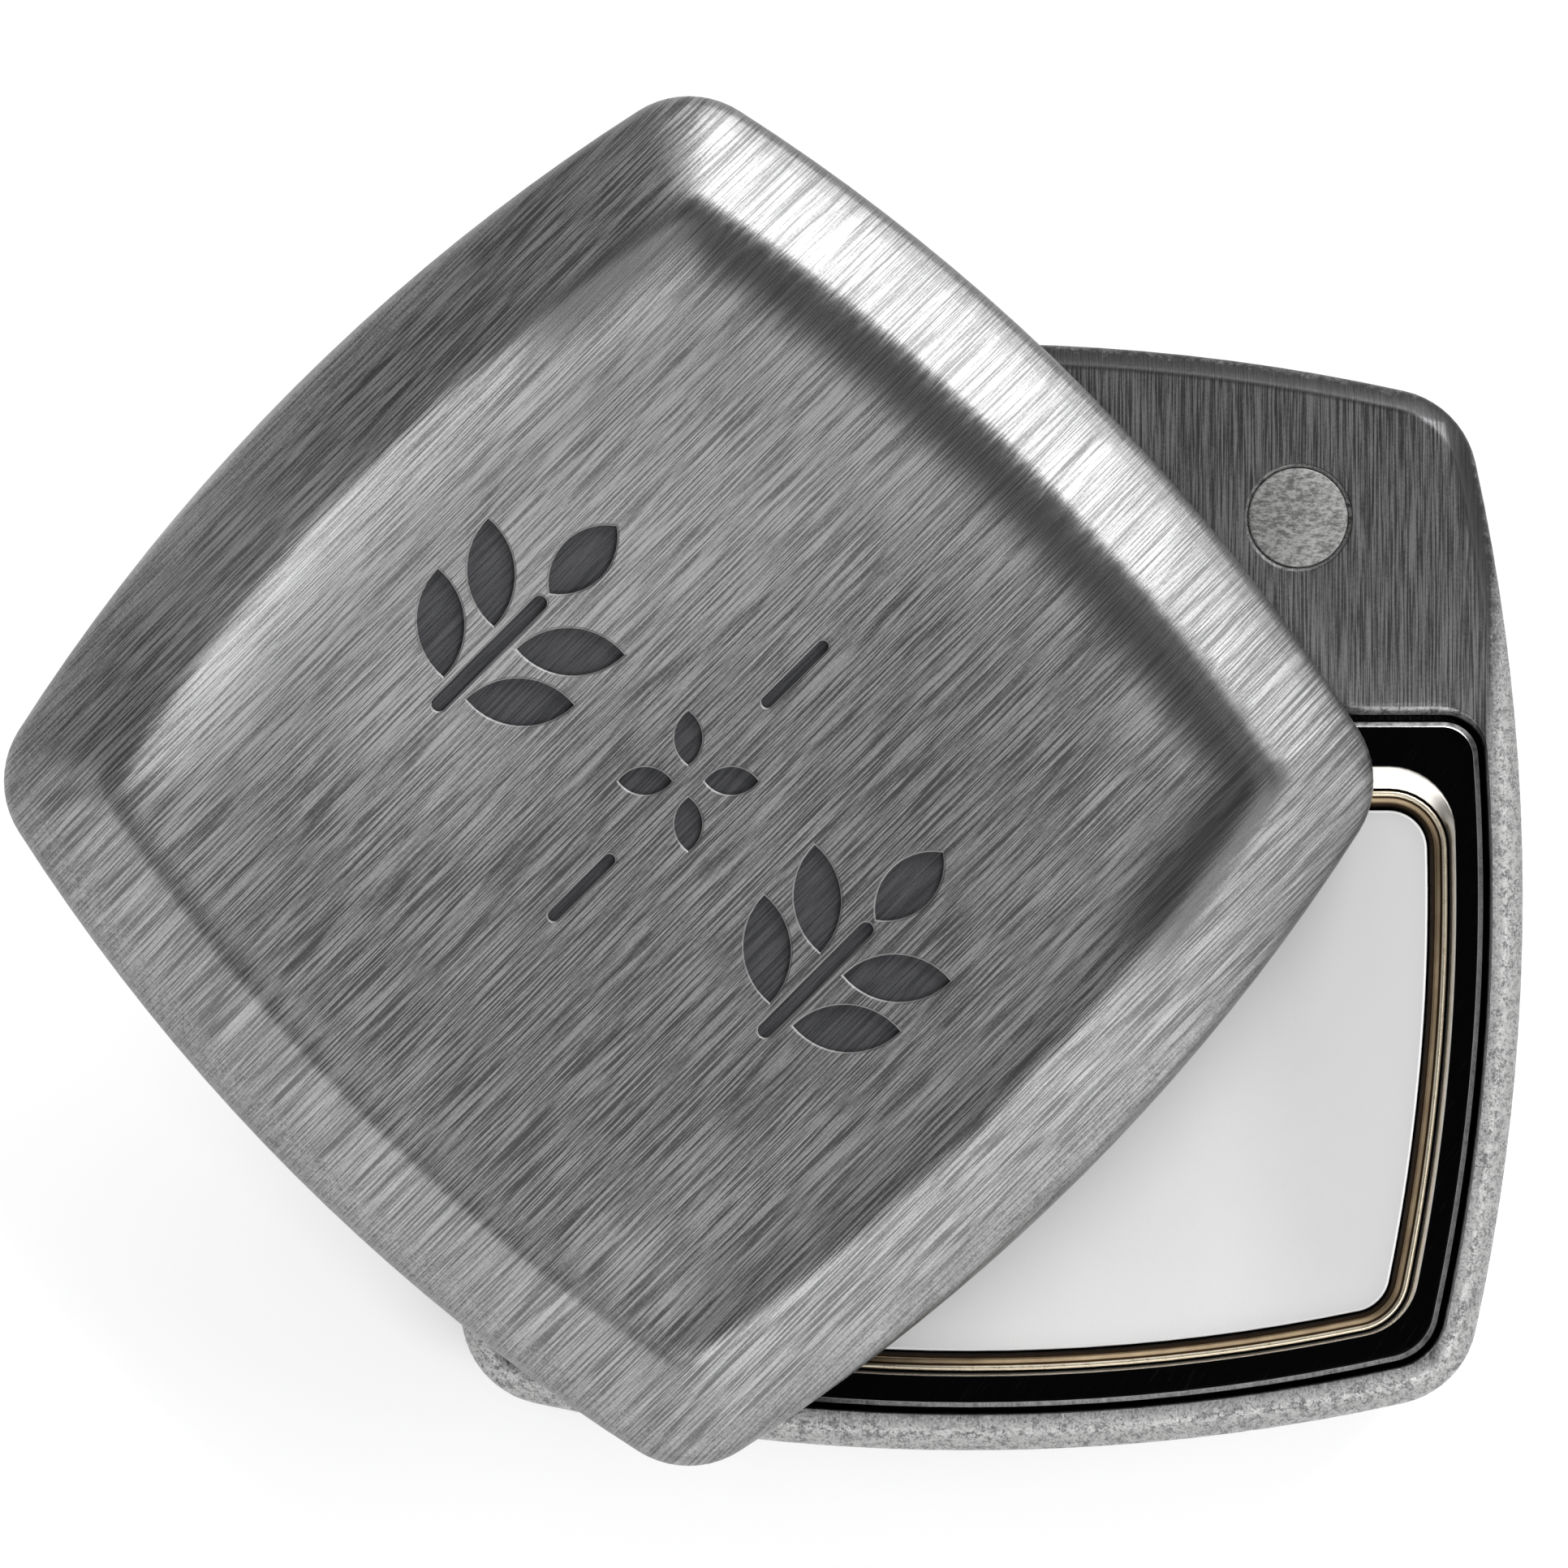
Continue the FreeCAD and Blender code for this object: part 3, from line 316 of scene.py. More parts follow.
class Finish:
    """One material: its node tree, and the few kinds of node that the finishes are made of."""

    def __init__(self, name, **constants):
        self.material = bpy.data.materials.new(name)
        self.material.use_nodes = True
        self.tree = self.material.node_tree
        self.shader = self.tree.nodes["Principled BSDF"]
        for socket, value in constants.items():
            self.shader.inputs[socket.replace("_", " ")].default_value = value
        self.spot = self.node("ShaderNodeTexCoord").outputs["Object"]

    def node(self, kind, settings=None, **sockets):
        """Any node: its settings are set first, then the values or links of its sockets."""
        node = self.tree.nodes.new(kind)
        for name, value in (settings or {}).items():
            setattr(node, name, value)
        for name, value in sockets.items():
            socket = node.inputs[name.replace("_", " ")]
            if isinstance(value, Value):
                self.tree.links.new(value.socket, socket)
            elif isinstance(value, bpy.types.NodeSocket):
                self.tree.links.new(value, socket)
            else:
                socket.default_value = value
        return node

    def mapped(self, turn=0.0, about=(0.0, 0.0, 0.0), stretch=(1.0, 1.0, 1.0)):
        """The surface's own coordinates in millimetres, turned about a point and then stretched."""
        centre = Vector(about)
        shift = centre - Matrix.Rotation(turn, 3, "Z") @ centre
        turned = self.node("ShaderNodeMapping", Vector=self.spot, Location=shift,
                           Rotation=(0.0, 0.0, turn), Scale=(1 / MM, 1 / MM, 1 / MM))
        if tuple(stretch) == (1.0, 1.0, 1.0):
            return turned.outputs["Vector"]
        return self.node("ShaderNodeMapping", Vector=turned.outputs["Vector"],
                         Scale=stretch).outputs["Vector"]

    def noise(self, where, scale, detail=3.0, roughness=0.55, distortion=0.0):
        made = self.node("ShaderNodeTexNoise", Vector=where, Scale=scale, Detail=detail,
                         Roughness=roughness, Distortion=distortion)
        return Value(self.tree, made.outputs["Fac"])

    def fade(self, value, start, end, low=0.0, high=1.0):
        """A smooth step from low to high as the value goes from start to end."""
        made = self.node("ShaderNodeMapRange", {"interpolation_type": "SMOOTHSTEP"}, Value=value,
                         From_Min=start, From_Max=end, To_Min=low, To_Max=high)
        return Value(self.tree, made.outputs["Result"])

    def axes(self, where):
        parts = self.node("ShaderNodeSeparateXYZ", Vector=where)
        return [Value(self.tree, parts.outputs[name]) for name in "XYZ"]

    def blend(self, factor, first, second):
        """A colour between two colours."""
        made = self.tree.nodes.new("ShaderNodeMix")
        made.data_type = "RGBA"
        for socket, value in ((made.inputs[0], factor), (made.inputs[6], first),
                              (made.inputs[7], second)):
            if isinstance(value, Value):
                self.tree.links.new(value.socket, socket)
            elif isinstance(value, bpy.types.NodeSocket):
                self.tree.links.new(value, socket)
            else:
                socket.default_value = value if isinstance(value, float) else (*value[:3], 1.0)
        return made.outputs[2]

    def bump(self, height, depth, strength=1.0, over=None):
        """A bump whose full height is a depth in millimetres."""
        made = self.node("ShaderNodeBump", Height=height, Distance=depth * MM, Strength=strength)
        if over is not None:
            self.tree.links.new(over, made.inputs["Normal"])
        return made.outputs["Normal"]

    def feed(self, **sockets):
        for name, value in sockets.items():
            source = value.socket if isinstance(value, Value) else value
            self.tree.links.new(source, self.shader.inputs[name.replace("_", " ")])
        return self.material


BRUSH_STREAKS = (3.4, 0.07, 0.0)
BRUSH_HAIRS = (10.5, 0.2, 0.0)
BATH_CLOUDS = (0.13, 0.05, 0.1)
RUBBED_AND_HIGHLIGHT = (0.46, 0.46, 0.455)
SCUFFED = (0.16, 0.16, 0.16)
BATH_DARK = (0.03, 0.031, 0.034)
BATH_GREY = (0.13, 0.13, 0.135)
LESS_RUBBED_IN_PIVOT_SHADE = 1.7


def rim_inset(finish, x, y):
    """How far each spot is inside the case's outline, from its four side arcs."""
    spread = None
    for across, along, sign in ((x, y, 1), (x, y, -1), (y, x, 1), (y, x, -1)):
        reach = ((across + sign * REACH) ** 2.0 + along ** 2.0) ** 0.5
        spread = reach if spread is None else spread.most(reach)
    return SIDE_RADIUS - spread


def antique_zinc(name, turn, tone, relief, worn_from, dished=0.0, recess_from=None):
    """Brushed, antiqued zinc.  The brushing runs along Y once the case is turned closed.

    tone is the metal's colour, relief how far the rim is rubbed bright above the height worn_from
    and how dark the painted shade on the chamfer towards the pivot is, dished how far the face is
    dished and how strong its painted light and its painted crease shade are, and recess_from the
    height below which the dark bath was never rubbed off.
    """
    zinc = Finish(name, Metallic=1.0)
    flat = zinc.mapped(turn, PIVOT)
    x, y, z = zinc.axes(flat)
    streak = zinc.noise(zinc.mapped(turn, PIVOT, BRUSH_STREAKS), 1.0, 3.0, 0.55)
    fine = zinc.noise(zinc.mapped(turn, PIVOT, BRUSH_HAIRS), 1.0, 2.0, 0.7)
    cloud = zinc.noise(zinc.mapped(turn, PIVOT, BATH_CLOUDS), 1.0, 3.0, 0.5, 0.3)
    grain = zinc.noise(flat, 8.5, 3.0, 0.75)
    mottle = zinc.noise(flat, 2.6, 5.0, 0.75)
    inset = rim_inset(zinc, x, y)

    tarnish = zinc.fade(cloud, 0.34, 0.66)
    lines = zinc.fade(streak, 0.34, 0.66)
    hairs = zinc.fade(fine, 0.39, 0.61)

    # The rim is rubbed bright, and is painted darker towards the pivot as painted shade; the body
    # is streaked by the brush.
    pivot_shade = zinc.fade(y, 3.0, 18.0)
    worn = zinc.fade(inset + (mottle - 0.5) * 1.8 + LESS_RUBBED_IN_PIVOT_SHADE * pivot_shade, 2.0, 1.2)
    worn = worn * zinc.fade(z + (mottle - 0.5), worn_from, worn_from + 0.6) * relief
    drag = zinc.fade(inset, 0.0, 0.6, 0.35, 1.0)
    level = 0.3 + 0.1 * tarnish + (0.12 * (lines - 0.5) + 0.75 * (hairs - 0.5)) * drag
    level = level + 0.9 * (grain - 0.5)

    # Painted light: a dished face is painted brighter on its left and inside its right bevel,
    # and its bevel is painted brighter low on its left.
    face = zinc.fade(inset, 5.2, 8.2)
    painted_light = 0.36 * zinc.fade(x - 0.5 * y, 1.0, -14.0) * face
    painted_light = painted_light + 0.3 * zinc.fade(x, 9.0, 13.0) * face * zinc.fade(inset, 10.0, 7.0)
    painted_light = painted_light + (0.3 * zinc.fade(x, -10.0, -13.0) * zinc.fade(y, 5.0, -6.0)
                       * zinc.fade(y, -15.0, -10.0) * (1.0 - face))
    level = level + painted_light * dished
    dark = tuple(part * 0.5 for part in tone)
    bright = tuple(min(1.0, part * 1.9) for part in tone)
    colour = zinc.blend(level.least(1.0).most(0.0), dark, bright)

    # Painted shade: the crease on the pivot's side and the rim chamfer towards the pivot are
    # painted dark.
    ragged = inset + 0.5 * (lines - 0.5) + 0.6 * (hairs - 0.5) + 0.7 * zinc.fade(x, 2.0, 13.0)
    crease = zinc.fade(ragged, 4.6, 5.3) * zinc.fade(inset, 8.2, 6.0) * zinc.fade(y, 6.0, 12.0)
    painted_shade = (crease * dished * 0.85).most(zinc.fade(inset, 1.2, 0.95) * pivot_shade * relief * 0.9)
    colour = zinc.blend(painted_shade, colour, tuple(part * 0.36 for part in tone))
    speckled = zinc.blend(zinc.fade(0.5 * mottle + 0.5 * grain, 0.38, 0.58), SCUFFED, RUBBED_AND_HIGHLIGHT)

    # The edges of wells and seats are rubbed too; their bright speckle is partly wear and partly a
    # painted highlight on their rounded lips.
    lips = (zinc.fade(z, LAND - 0.02, LAND - 0.07) * zinc.fade(z, LAND - 0.8, LAND - 0.6)
            * zinc.fade(inset, 1.7, 2.0) * zinc.fade(mottle, 0.34, 0.5))
    colour = zinc.blend(worn.most(lips * 0.8), colour, speckled)
    rough = 0.35 + 0.06 * (1.0 - lines) + 0.08 * hairs + 0.06 * worn
    if recess_from is not None:
        floor_only = zinc.fade(inset, 7.5, 8.5) * zinc.fade(z, recess_from - 1.2, recess_from - 1.0)
        recess = zinc.fade(z, recess_from, recess_from - 0.1) * floor_only
        stained = zinc.blend(0.5 * hairs + 0.5 * grain, BATH_DARK, BATH_GREY)
        # The engraving's edge is rubbed bright: partly wear, partly a painted highlight on its
        # chamfer.
        lip = zinc.fade(z, recess_from + ENGRAVING_FLARE - 0.01, recess_from + 0.04) * floor_only
        colour = zinc.blend(lip * 0.8, colour, RUBBED_AND_HIGHLIGHT)
        colour = zinc.blend(recess, colour, stained)
        rough = rough + 0.2 * recess

    pits = zinc.fade(mottle, 0.34, 0.48)
    bowl = zinc.fade((x * x + y * y) ** 0.5, 5.0, 19.0) * dished
    normal = zinc.bump(bowl, 0.5)
    normal = zinc.bump(0.18 * streak + 0.4 * fine + 0.16 * grain, 0.03, over=normal)
    normal = zinc.bump(pits * worn, 0.04, 0.7, over=normal)
    return zinc.feed(Base_Color=colour, Roughness=rough, Normal=normal)


LID_PROFILE = [
    (1.1, 88, 36, 9),
    (4.3, 36, 27, 10),
    (1.5, 27, -13, 12),
    (1.6, -13, -7, 6),
    (2.7, -7, 0, 8),
]
EDGE_ROUND = 0.35
EDGE_STEPS = 4

crown = walk(LID_PROFILE)
crown_foot = LID_HEIGHT - max(height for _, height in crown)
lid_floor = LAND + LID_GAP
bm = bmesh.new()
loops = [pillow(bm, inset, lid_floor + rise)
         for rise, inset in quarter_round(EDGE_ROUND, EDGE_STEPS)]
loops += [pillow(bm, inset, lid_floor + crown_foot + height) for inset, height in crown]
skin(bm, loops)
lid = to_object(bm, "lid_casting")
dish_flat = lid_floor + crown_foot + crown[-1][1]

SPRIG_X = 10.7
SPRIG_LOW = -6.0
STEM_HIGH = 1.3
STEM_WIDTH = 0.7
TOP_LEAF = (4.4, 2.3)
TOP_LEAF_GAP = 0.3
SIDE_LEAF = (5.0, 2.2)
SIDE_LEAF_ANGLE = 42.0
SIDE_LEAF_ROOTS = (-4.6, -1.3)
LEAF_OFF_STEM = 0.75
PETAL = (2.5, 1.3)
PETAL_OFF_CENTRE = 0.75
DASH_WIDTH = 0.55
DASH_SPAN = (4.9, 9.1)
LEAF_STEPS = 14


def leaf_outline(bm, x, y, degrees, leaf_size, grow, height):
    """A pointed leaf from two arcs, grown all round by a little."""
    length, width = leaf_size
    bend = (length ** 2 / 4 + width ** 2 / 4) / width
    half_turn = math.asin(length / 2 / bend)
    extra = grow / math.sin(half_turn)
    length += 2 * extra
    width += 2 * grow
    bend = (length ** 2 / 4 + width ** 2 / 4) / width
    half_turn = math.asin(length / 2 / bend)
    along = Vector((math.cos(math.radians(degrees)), math.sin(math.radians(degrees))))
    across = Vector((-along.y, along.x))
    root = Vector((x, y)) - along * extra
    middle = root + along * length / 2
    off = across * (bend - width / 2)
    return draw(bm, root, height, [(middle + off, 2 * half_turn, LEAF_STEPS),
                                   (middle - off, 2 * half_turn, LEAF_STEPS)])


def bar_outline(bm, x, low, high, width, grow, height):
    """An upright bar with round ends, grown all round by a little."""
    half = width / 2
    edge = half + grow
    return draw(bm, (x + edge, low + half), height, [
        ((x + edge, high - half), None, 1),
        ((x, high - half), math.pi, CORNER_STEPS),
        ((x - edge, low + half), None, 1),
        ((x, low + half), math.pi, CORNER_STEPS),
    ])


def engrave(bm, outline, *sizes):
    """One engraved shape: a flat floor, upright walls and a fine rubbed edge at the surface."""
    loops = [outline(bm, *sizes, 0.0, dish_flat - ENGRAVING_DEPTH),
             outline(bm, *sizes, 0.0, dish_flat - ENGRAVING_FLARE),
             outline(bm, *sizes, ENGRAVING_FLARE * 2, dish_flat + ENGRAVING_FLARE)]
    skin(bm, loops)


bm = bmesh.new()
for side in (-1, 1):
    sprig_x = side * SPRIG_X
    engrave(bm, bar_outline, sprig_x, SPRIG_LOW, STEM_HIGH, STEM_WIDTH)
    engrave(bm, leaf_outline, sprig_x, STEM_HIGH + TOP_LEAF_GAP, 90.0, TOP_LEAF)
    for root in SIDE_LEAF_ROOTS:
        engrave(bm, leaf_outline, sprig_x + LEAF_OFF_STEM, root, SIDE_LEAF_ANGLE, SIDE_LEAF)
        engrave(bm, leaf_outline, sprig_x - LEAF_OFF_STEM, root, 180 - SIDE_LEAF_ANGLE, SIDE_LEAF)
for quarter in range(4):
    degrees = 45 + 90 * quarter
    root = Vector((math.cos(math.radians(degrees)), math.sin(math.radians(degrees))))
    root *= PETAL_OFF_CENTRE
    engrave(bm, leaf_outline, root.x, root.y, degrees, PETAL)
low_dash, high_dash = DASH_SPAN
engrave(bm, bar_outline, 0.0, low_dash, high_dash, DASH_WIDTH)
engrave(bm, bar_outline, 0.0, -high_dash, -low_dash, DASH_WIDTH)
engraving = to_object(bm, "engraving")

MAGNET_X = 15.4
MAGNET_Y = 17.8
MAGNET_SEAT = 2.37
MAGNET_SEAT_DEPTH = 2.1
SEAT_FLARE = 0.2
RELIEF_DEPTH = 0.4
ROUND_STEPS = 64


def drill(name, x, y, stops):
    """A round cutter through (height, radius) stops."""
    bm = bmesh.new()
    loops = [draw(bm, (x + radius, y), height, [((x, y), 2 * math.pi, ROUND_STEPS)])
             for height, radius in stops]
    skin(bm, loops)
    return to_object(bm, name)


CLEAR = 1.0
cutters = [engraving]
for side in (-1, 1):
    cutters.append(drill("seat", side * MAGNET_X, MAGNET_Y, [
        (lid_floor + MAGNET_SEAT_DEPTH, MAGNET_SEAT),
        (lid_floor + SEAT_FLARE, MAGNET_SEAT),
        (lid_floor - SEAT_FLARE, MAGNET_SEAT + 2 * SEAT_FLARE)]))
INSERT_RADIUS = 2.2
INSERT_DEPTH = 3.4
cutters.append(drill("seat", PIVOT.x, PIVOT.y, [
    (lid_floor + INSERT_DEPTH, INSERT_RADIUS), (lid_floor - CLEAR, INSERT_RADIUS)]))
PAN_SIDE = 22.5
PAN_TOP = 5.0
PAN_BOTTOM = 22.3
PAN_CORNER = 2.75
bm = bmesh.new()
relief_corners = (PAN_CORNER, PAN_CORNER)
skin(bm, [case_outline(bm, PAN_SIDE, PAN_TOP, PAN_BOTTOM, relief_corners, height, True)
          for height in (lid_floor + RELIEF_DEPTH, lid_floor - CLEAR)])
cutters.append(to_object(bm, "relief"))
cut(lid, cutters)
lid.data.transform(OPENED)
smooth(lid)
LID_TONE = (0.225, 0.225, 0.226)
LID_WORN_DEPTH = 3.2
# The lid's finish carries painted light on its face and on its bevel low on its left, and painted
# shade in the crease on the pivot's side.
lid_zinc = antique_zinc("lid_zinc", -OPEN_ANGLE, LID_TONE, relief=0.25,
                        worn_from=LID_TOP - LID_WORN_DEPTH, dished=1.0,
                        recess_from=dish_flat - ENGRAVING_FLARE)
place(lid, "lid", "lid_casting", lid_zinc, "lid_shell")

STOP_RADIUS = 5.2
BOSS_RADIUS = 0.65
BOSS_HEIGHT = 1.0
BOSS_EDGE = 0.12
boss = drill("stop_boss", PIVOT.x + STOP_RADIUS, PIVOT.y, [
    (lid_floor - BOSS_HEIGHT, BOSS_RADIUS - BOSS_EDGE),
    (lid_floor - BOSS_HEIGHT + BOSS_EDGE, BOSS_RADIUS),
    (lid_floor + BOSS_EDGE, BOSS_RADIUS)])
boss.data.transform(OPENED)
smooth(boss)
place(boss, "lid", "lid_casting", lid_zinc)

# ---------------------------------------------------------------- base casting
# The base is the matching zinc die casting: bevelled back, upright wall, a rubbed and pitted
# chamfer round the land, the cartridge well with its finger scoop, and the stepped pivot bore.

BACK_PROFILE = [(0.9, 180, 150, 6), (3.1, 150, 144, 6), (1.3, 144, 90, 9)]
RIM_PROFILE = [(0.5, 88, 44, 6), (0.75, 44, 34, 5), (0.35, 34, 0, 5)]
WELL_SIDE = 24.45
WELL_TOP = 8.55
WELL_BOTTOM = 24.3
WELL_FLOOR = 1.6
WELL_CORNERS = (1.9, 2.8)
LIP = 0.6
LIP_STEPS = 6
LIP_SIDE_GROWTH = 0.12
LIP_CORNER_GROWTH = 0.7
NOTCH_PEAK = 11.5
NOTCH_END = 18.6
NOTCH_BLEND = 5.0
NOTCH_DEPTH = 4.2
NOTCH_SLOPE = 1.3

back = walk(BACK_PROFILE)
rim = walk(RIM_PROFILE)
bm = bmesh.new()
loops = [pillow(bm, inset - back[-1][0], height) for inset, height in back]
loops += [pillow(bm, inset, LAND - rim[-1][1] + height) for inset, height in rim]
skin(bm, loops)
base = to_object(bm, "base_casting")

bm = bmesh.new()
loops = [case_outline(bm, WELL_SIDE, WELL_TOP, WELL_BOTTOM, WELL_CORNERS, WELL_FLOOR, True)]
for out, down in quarter_round(LIP, LIP_STEPS) + [(LIP, -CLEAR)]:
    corners = (WELL_CORNERS[0] + out * LIP_CORNER_GROWTH, WELL_CORNERS[1])
    loops.append(case_outline(bm, WELL_SIDE + out * LIP_SIDE_GROWTH, WELL_TOP + out, WELL_BOTTOM,
                              corners, LAND - down, True))
skin(bm, loops)
well_cutter = to_object(bm, "well")


def notch_outline(bm, grow, height):
    """The finger scoop's arch with its two reversed ends, grown towards the pivot."""
    arch = ((NOTCH_END ** 2 + (WELL_TOP + NOTCH_BLEND - NOTCH_PEAK) ** 2 - NOTCH_BLEND ** 2)
            / (2 * (NOTCH_PEAK - WELL_TOP)))
    arch_c = (0.0, NOTCH_PEAK - arch)
    right_c = (NOTCH_END, WELL_TOP + NOTCH_BLEND)
    left_c = (-NOTCH_END, WELL_TOP + NOTCH_BLEND)
    foot = NOTCH_BLEND - grow
    right_foot = (NOTCH_END, WELL_TOP + grow)
    join = on_circle(right_c, arch_c, foot)
    swing = turn_from(right_c, join, right_foot)
    low_y = WELL_TOP - 2 * CLEAR
    return draw(bm, right_foot, height, [
        (right_c, -swing, CORNER_STEPS),
        (arch_c, turn_from(arch_c, right_c, left_c), SIDE_STEPS),
        (left_c, -swing, CORNER_STEPS),
        ((-NOTCH_END, low_y), None, 2),
        ((NOTCH_END, low_y), None, SIDE_STEPS),
        (right_foot, None, 2),
    ])


bm = bmesh.new()
loops = [notch_outline(bm, -NOTCH_SLOPE, LAND - NOTCH_DEPTH)]
loops += [notch_outline(bm, out, LAND - down)
          for out, down in quarter_round(LIP, LIP_STEPS) + [(LIP, -CLEAR)]]
skin(bm, loops)
notch_cutter = to_object(bm, "notch")

STOP_GROOVE_HALF = 0.8
STOP_GROOVE_DEPTH = 1.25


def groove_outline(bm, height):
    """The half-turn groove that the lid's stop boss runs in."""
    x, y = PIVOT.x, PIVOT.y
    outer = STOP_RADIUS + STOP_GROOVE_HALF
    return draw(bm, (x - outer, y), height, [
        ((x, y), math.pi, SIDE_STEPS),
        ((x + STOP_RADIUS, y), math.pi, CORNER_STEPS),
        ((x, y), -math.pi, SIDE_STEPS),
        ((x - STOP_RADIUS, y), math.pi, CORNER_STEPS),
    ])


bm = bmesh.new()
skin(bm, [groove_outline(bm, LAND - STOP_GROOVE_DEPTH), groove_outline(bm, LAND + CLEAR)])
groove_cutter = to_object(bm, "groove")

FLOOR_MAGNET_Y = -8.5
FLOOR_MAGNET_SEAT = (4.08, 0.8)
WASHER_SEAT = (3.6, 0.3)
BUSH_RADIUS = 2.4
HEAD_ROOM = (3.2, 3.4)
CAP_SEAT = (3.65, 0.75)
cutters = [well_cutter, notch_cutter, groove_cutter]
for side in (-1, 1):
    cutters.append(drill("seat", side * MAGNET_X, MAGNET_Y, [
        (LAND - MAGNET_SEAT_DEPTH, MAGNET_SEAT),
        (LAND - SEAT_FLARE, MAGNET_SEAT),
        (LAND + SEAT_FLARE, MAGNET_SEAT + 2 * SEAT_FLARE)]))
cutters.append(drill("seat", 0.0, FLOOR_MAGNET_Y, [
    (WELL_FLOOR - FLOOR_MAGNET_SEAT[1], FLOOR_MAGNET_SEAT[0]),
    (WELL_FLOOR + CLEAR, FLOOR_MAGNET_SEAT[0])]))
washer_floor = LAND - WASHER_SEAT[1]
cutters.append(drill("bore", PIVOT.x, PIVOT.y, [
    (-CLEAR, CAP_SEAT[0]), (CAP_SEAT[1], CAP_SEAT[0]), (CAP_SEAT[1], HEAD_ROOM[0]),
    (HEAD_ROOM[1], HEAD_ROOM[0]), (HEAD_ROOM[1], BUSH_RADIUS),
    (washer_floor, BUSH_RADIUS), (washer_floor, WASHER_SEAT[0]),
    (LAND + CLEAR, WASHER_SEAT[0])]))
cut(base, cutters)
smooth(base)
# The base is given half the lid's tone, so the whole casting is darker than the lid.
BASE_TONE = (0.115, 0.115, 0.117)
BASE_WORN_DEPTH = 1.5
# The base's rim chamfer is painted darker towards the pivot, as painted shade.
base_zinc = antique_zinc("base_zinc", 0.0, BASE_TONE, relief=1.0,
                         worn_from=LAND - BASE_WORN_DEPTH)
place(base, "base", "base_casting", base_zinc, "base_shell")

# ---------------------------------------------------------------- cartridge tray
# The refill's tray is moulded in glossy black plastic: a flat frame with soft outer edges, a slope
# down to the pan that is wide above it, and a deep pocket.  It drops into the well.

TRAY_GAP = 0.25
tray_low, tray_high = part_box("cartridge_tray")
TRAY_LOW = tray_low.z / MM
TRAY_TOP = tray_high.z / MM
TRAY_EDGE = [(0.0, 0.32), (0.02, 0.24), (0.06, 0.18), (0.1, 0.145), (0.28, 0.035), (0.33, 0.01),
             (0.38, 0.0)]
PAN_CLEARANCE = 0.1
RAMP_SIDE = 0.25
RAMP_TOP = 1.0
RAMP_BOTTOM = 0.1
RAMP_FOOT = 7.75
PAN_SEAT = 7.65
PAN_WALL = 0.6
TRAY_FLOOR = 2.4
TRAY_FOOT_EDGE = 0.4
TRAY_CORNER_LOSS = 0.6
RAMP_PROFILE = [(1.12, 0.005), (1.0, 0.03), (0.88, 0.12), (0.5, 0.5), (0.0, 1.0)]
LEAST_PAN_CORNER = 0.8
SOFT_ANGLE = math.radians(40)
BRIGHT_EDGE_DEPTH = 0.16
SLOPE_HIGHLIGHT_FROM_RIM = 3.0
SLOPE_HIGHLIGHT_TOP = 6.9
BLACK = (0.0008, 0.0008, 0.001)
BLACK_SCUFF = (0.004, 0.004, 0.0045)
HIGHLIGHT_DULL = (0.84, 0.8, 0.73)
HIGHLIGHT_BRIGHT = (0.97, 0.94, 0.89)
EDGE_HIGHLIGHT = (1.0, 1.0, 1.0)

tray_side = WELL_SIDE - TRAY_GAP
tray_end = WELL_TOP - TRAY_GAP
tray_foot = WELL_BOTTOM - TRAY_GAP
tray_corners = [corner - TRAY_GAP for corner in WELL_CORNERS]


def tray_outline(bm, inset, height):
    corners = [corner - inset * TRAY_CORNER_LOSS for corner in tray_corners]
    return case_outline(bm, tray_side - inset, tray_end - inset, tray_foot - inset, corners,
                        height, True)


def pan_outline(bm, inset, height, spread=0.0):
    """The pan's outline, moved in; spread opens it towards the head of the slope round it."""
    corner = max(LEAST_PAN_CORNER, PAN_CORNER - inset + RAMP_SIDE * spread)
    return case_outline(bm, PAN_SIDE - inset + RAMP_SIDE * spread,
                        PAN_TOP - inset + RAMP_TOP * spread,
                        PAN_BOTTOM - inset + RAMP_BOTTOM * spread, (corner, corner), height, True)


bm = bmesh.new()
loops = [tray_outline(bm, TRAY_FOOT_EDGE, TRAY_LOW),
         tray_outline(bm, 0.0, TRAY_LOW + TRAY_FOOT_EDGE)]
loops += [tray_outline(bm, inset, TRAY_TOP - down) for inset, down in TRAY_EDGE]
ramp_drop = TRAY_TOP - RAMP_FOOT
loops += [pan_outline(bm, -PAN_CLEARANCE, TRAY_TOP - ramp_drop * down, along)
          for along, down in RAMP_PROFILE]
loops.append(pan_outline(bm, -PAN_CLEARANCE, PAN_SEAT))
loops.append(pan_outline(bm, PAN_WALL - PAN_CLEARANCE, PAN_SEAT))
loops.append(pan_outline(bm, PAN_WALL - PAN_CLEARANCE, TRAY_FLOOR))
skin(bm, loops)
tray = to_object(bm, "tray_moulding")
smooth(tray, SOFT_ANGLE)


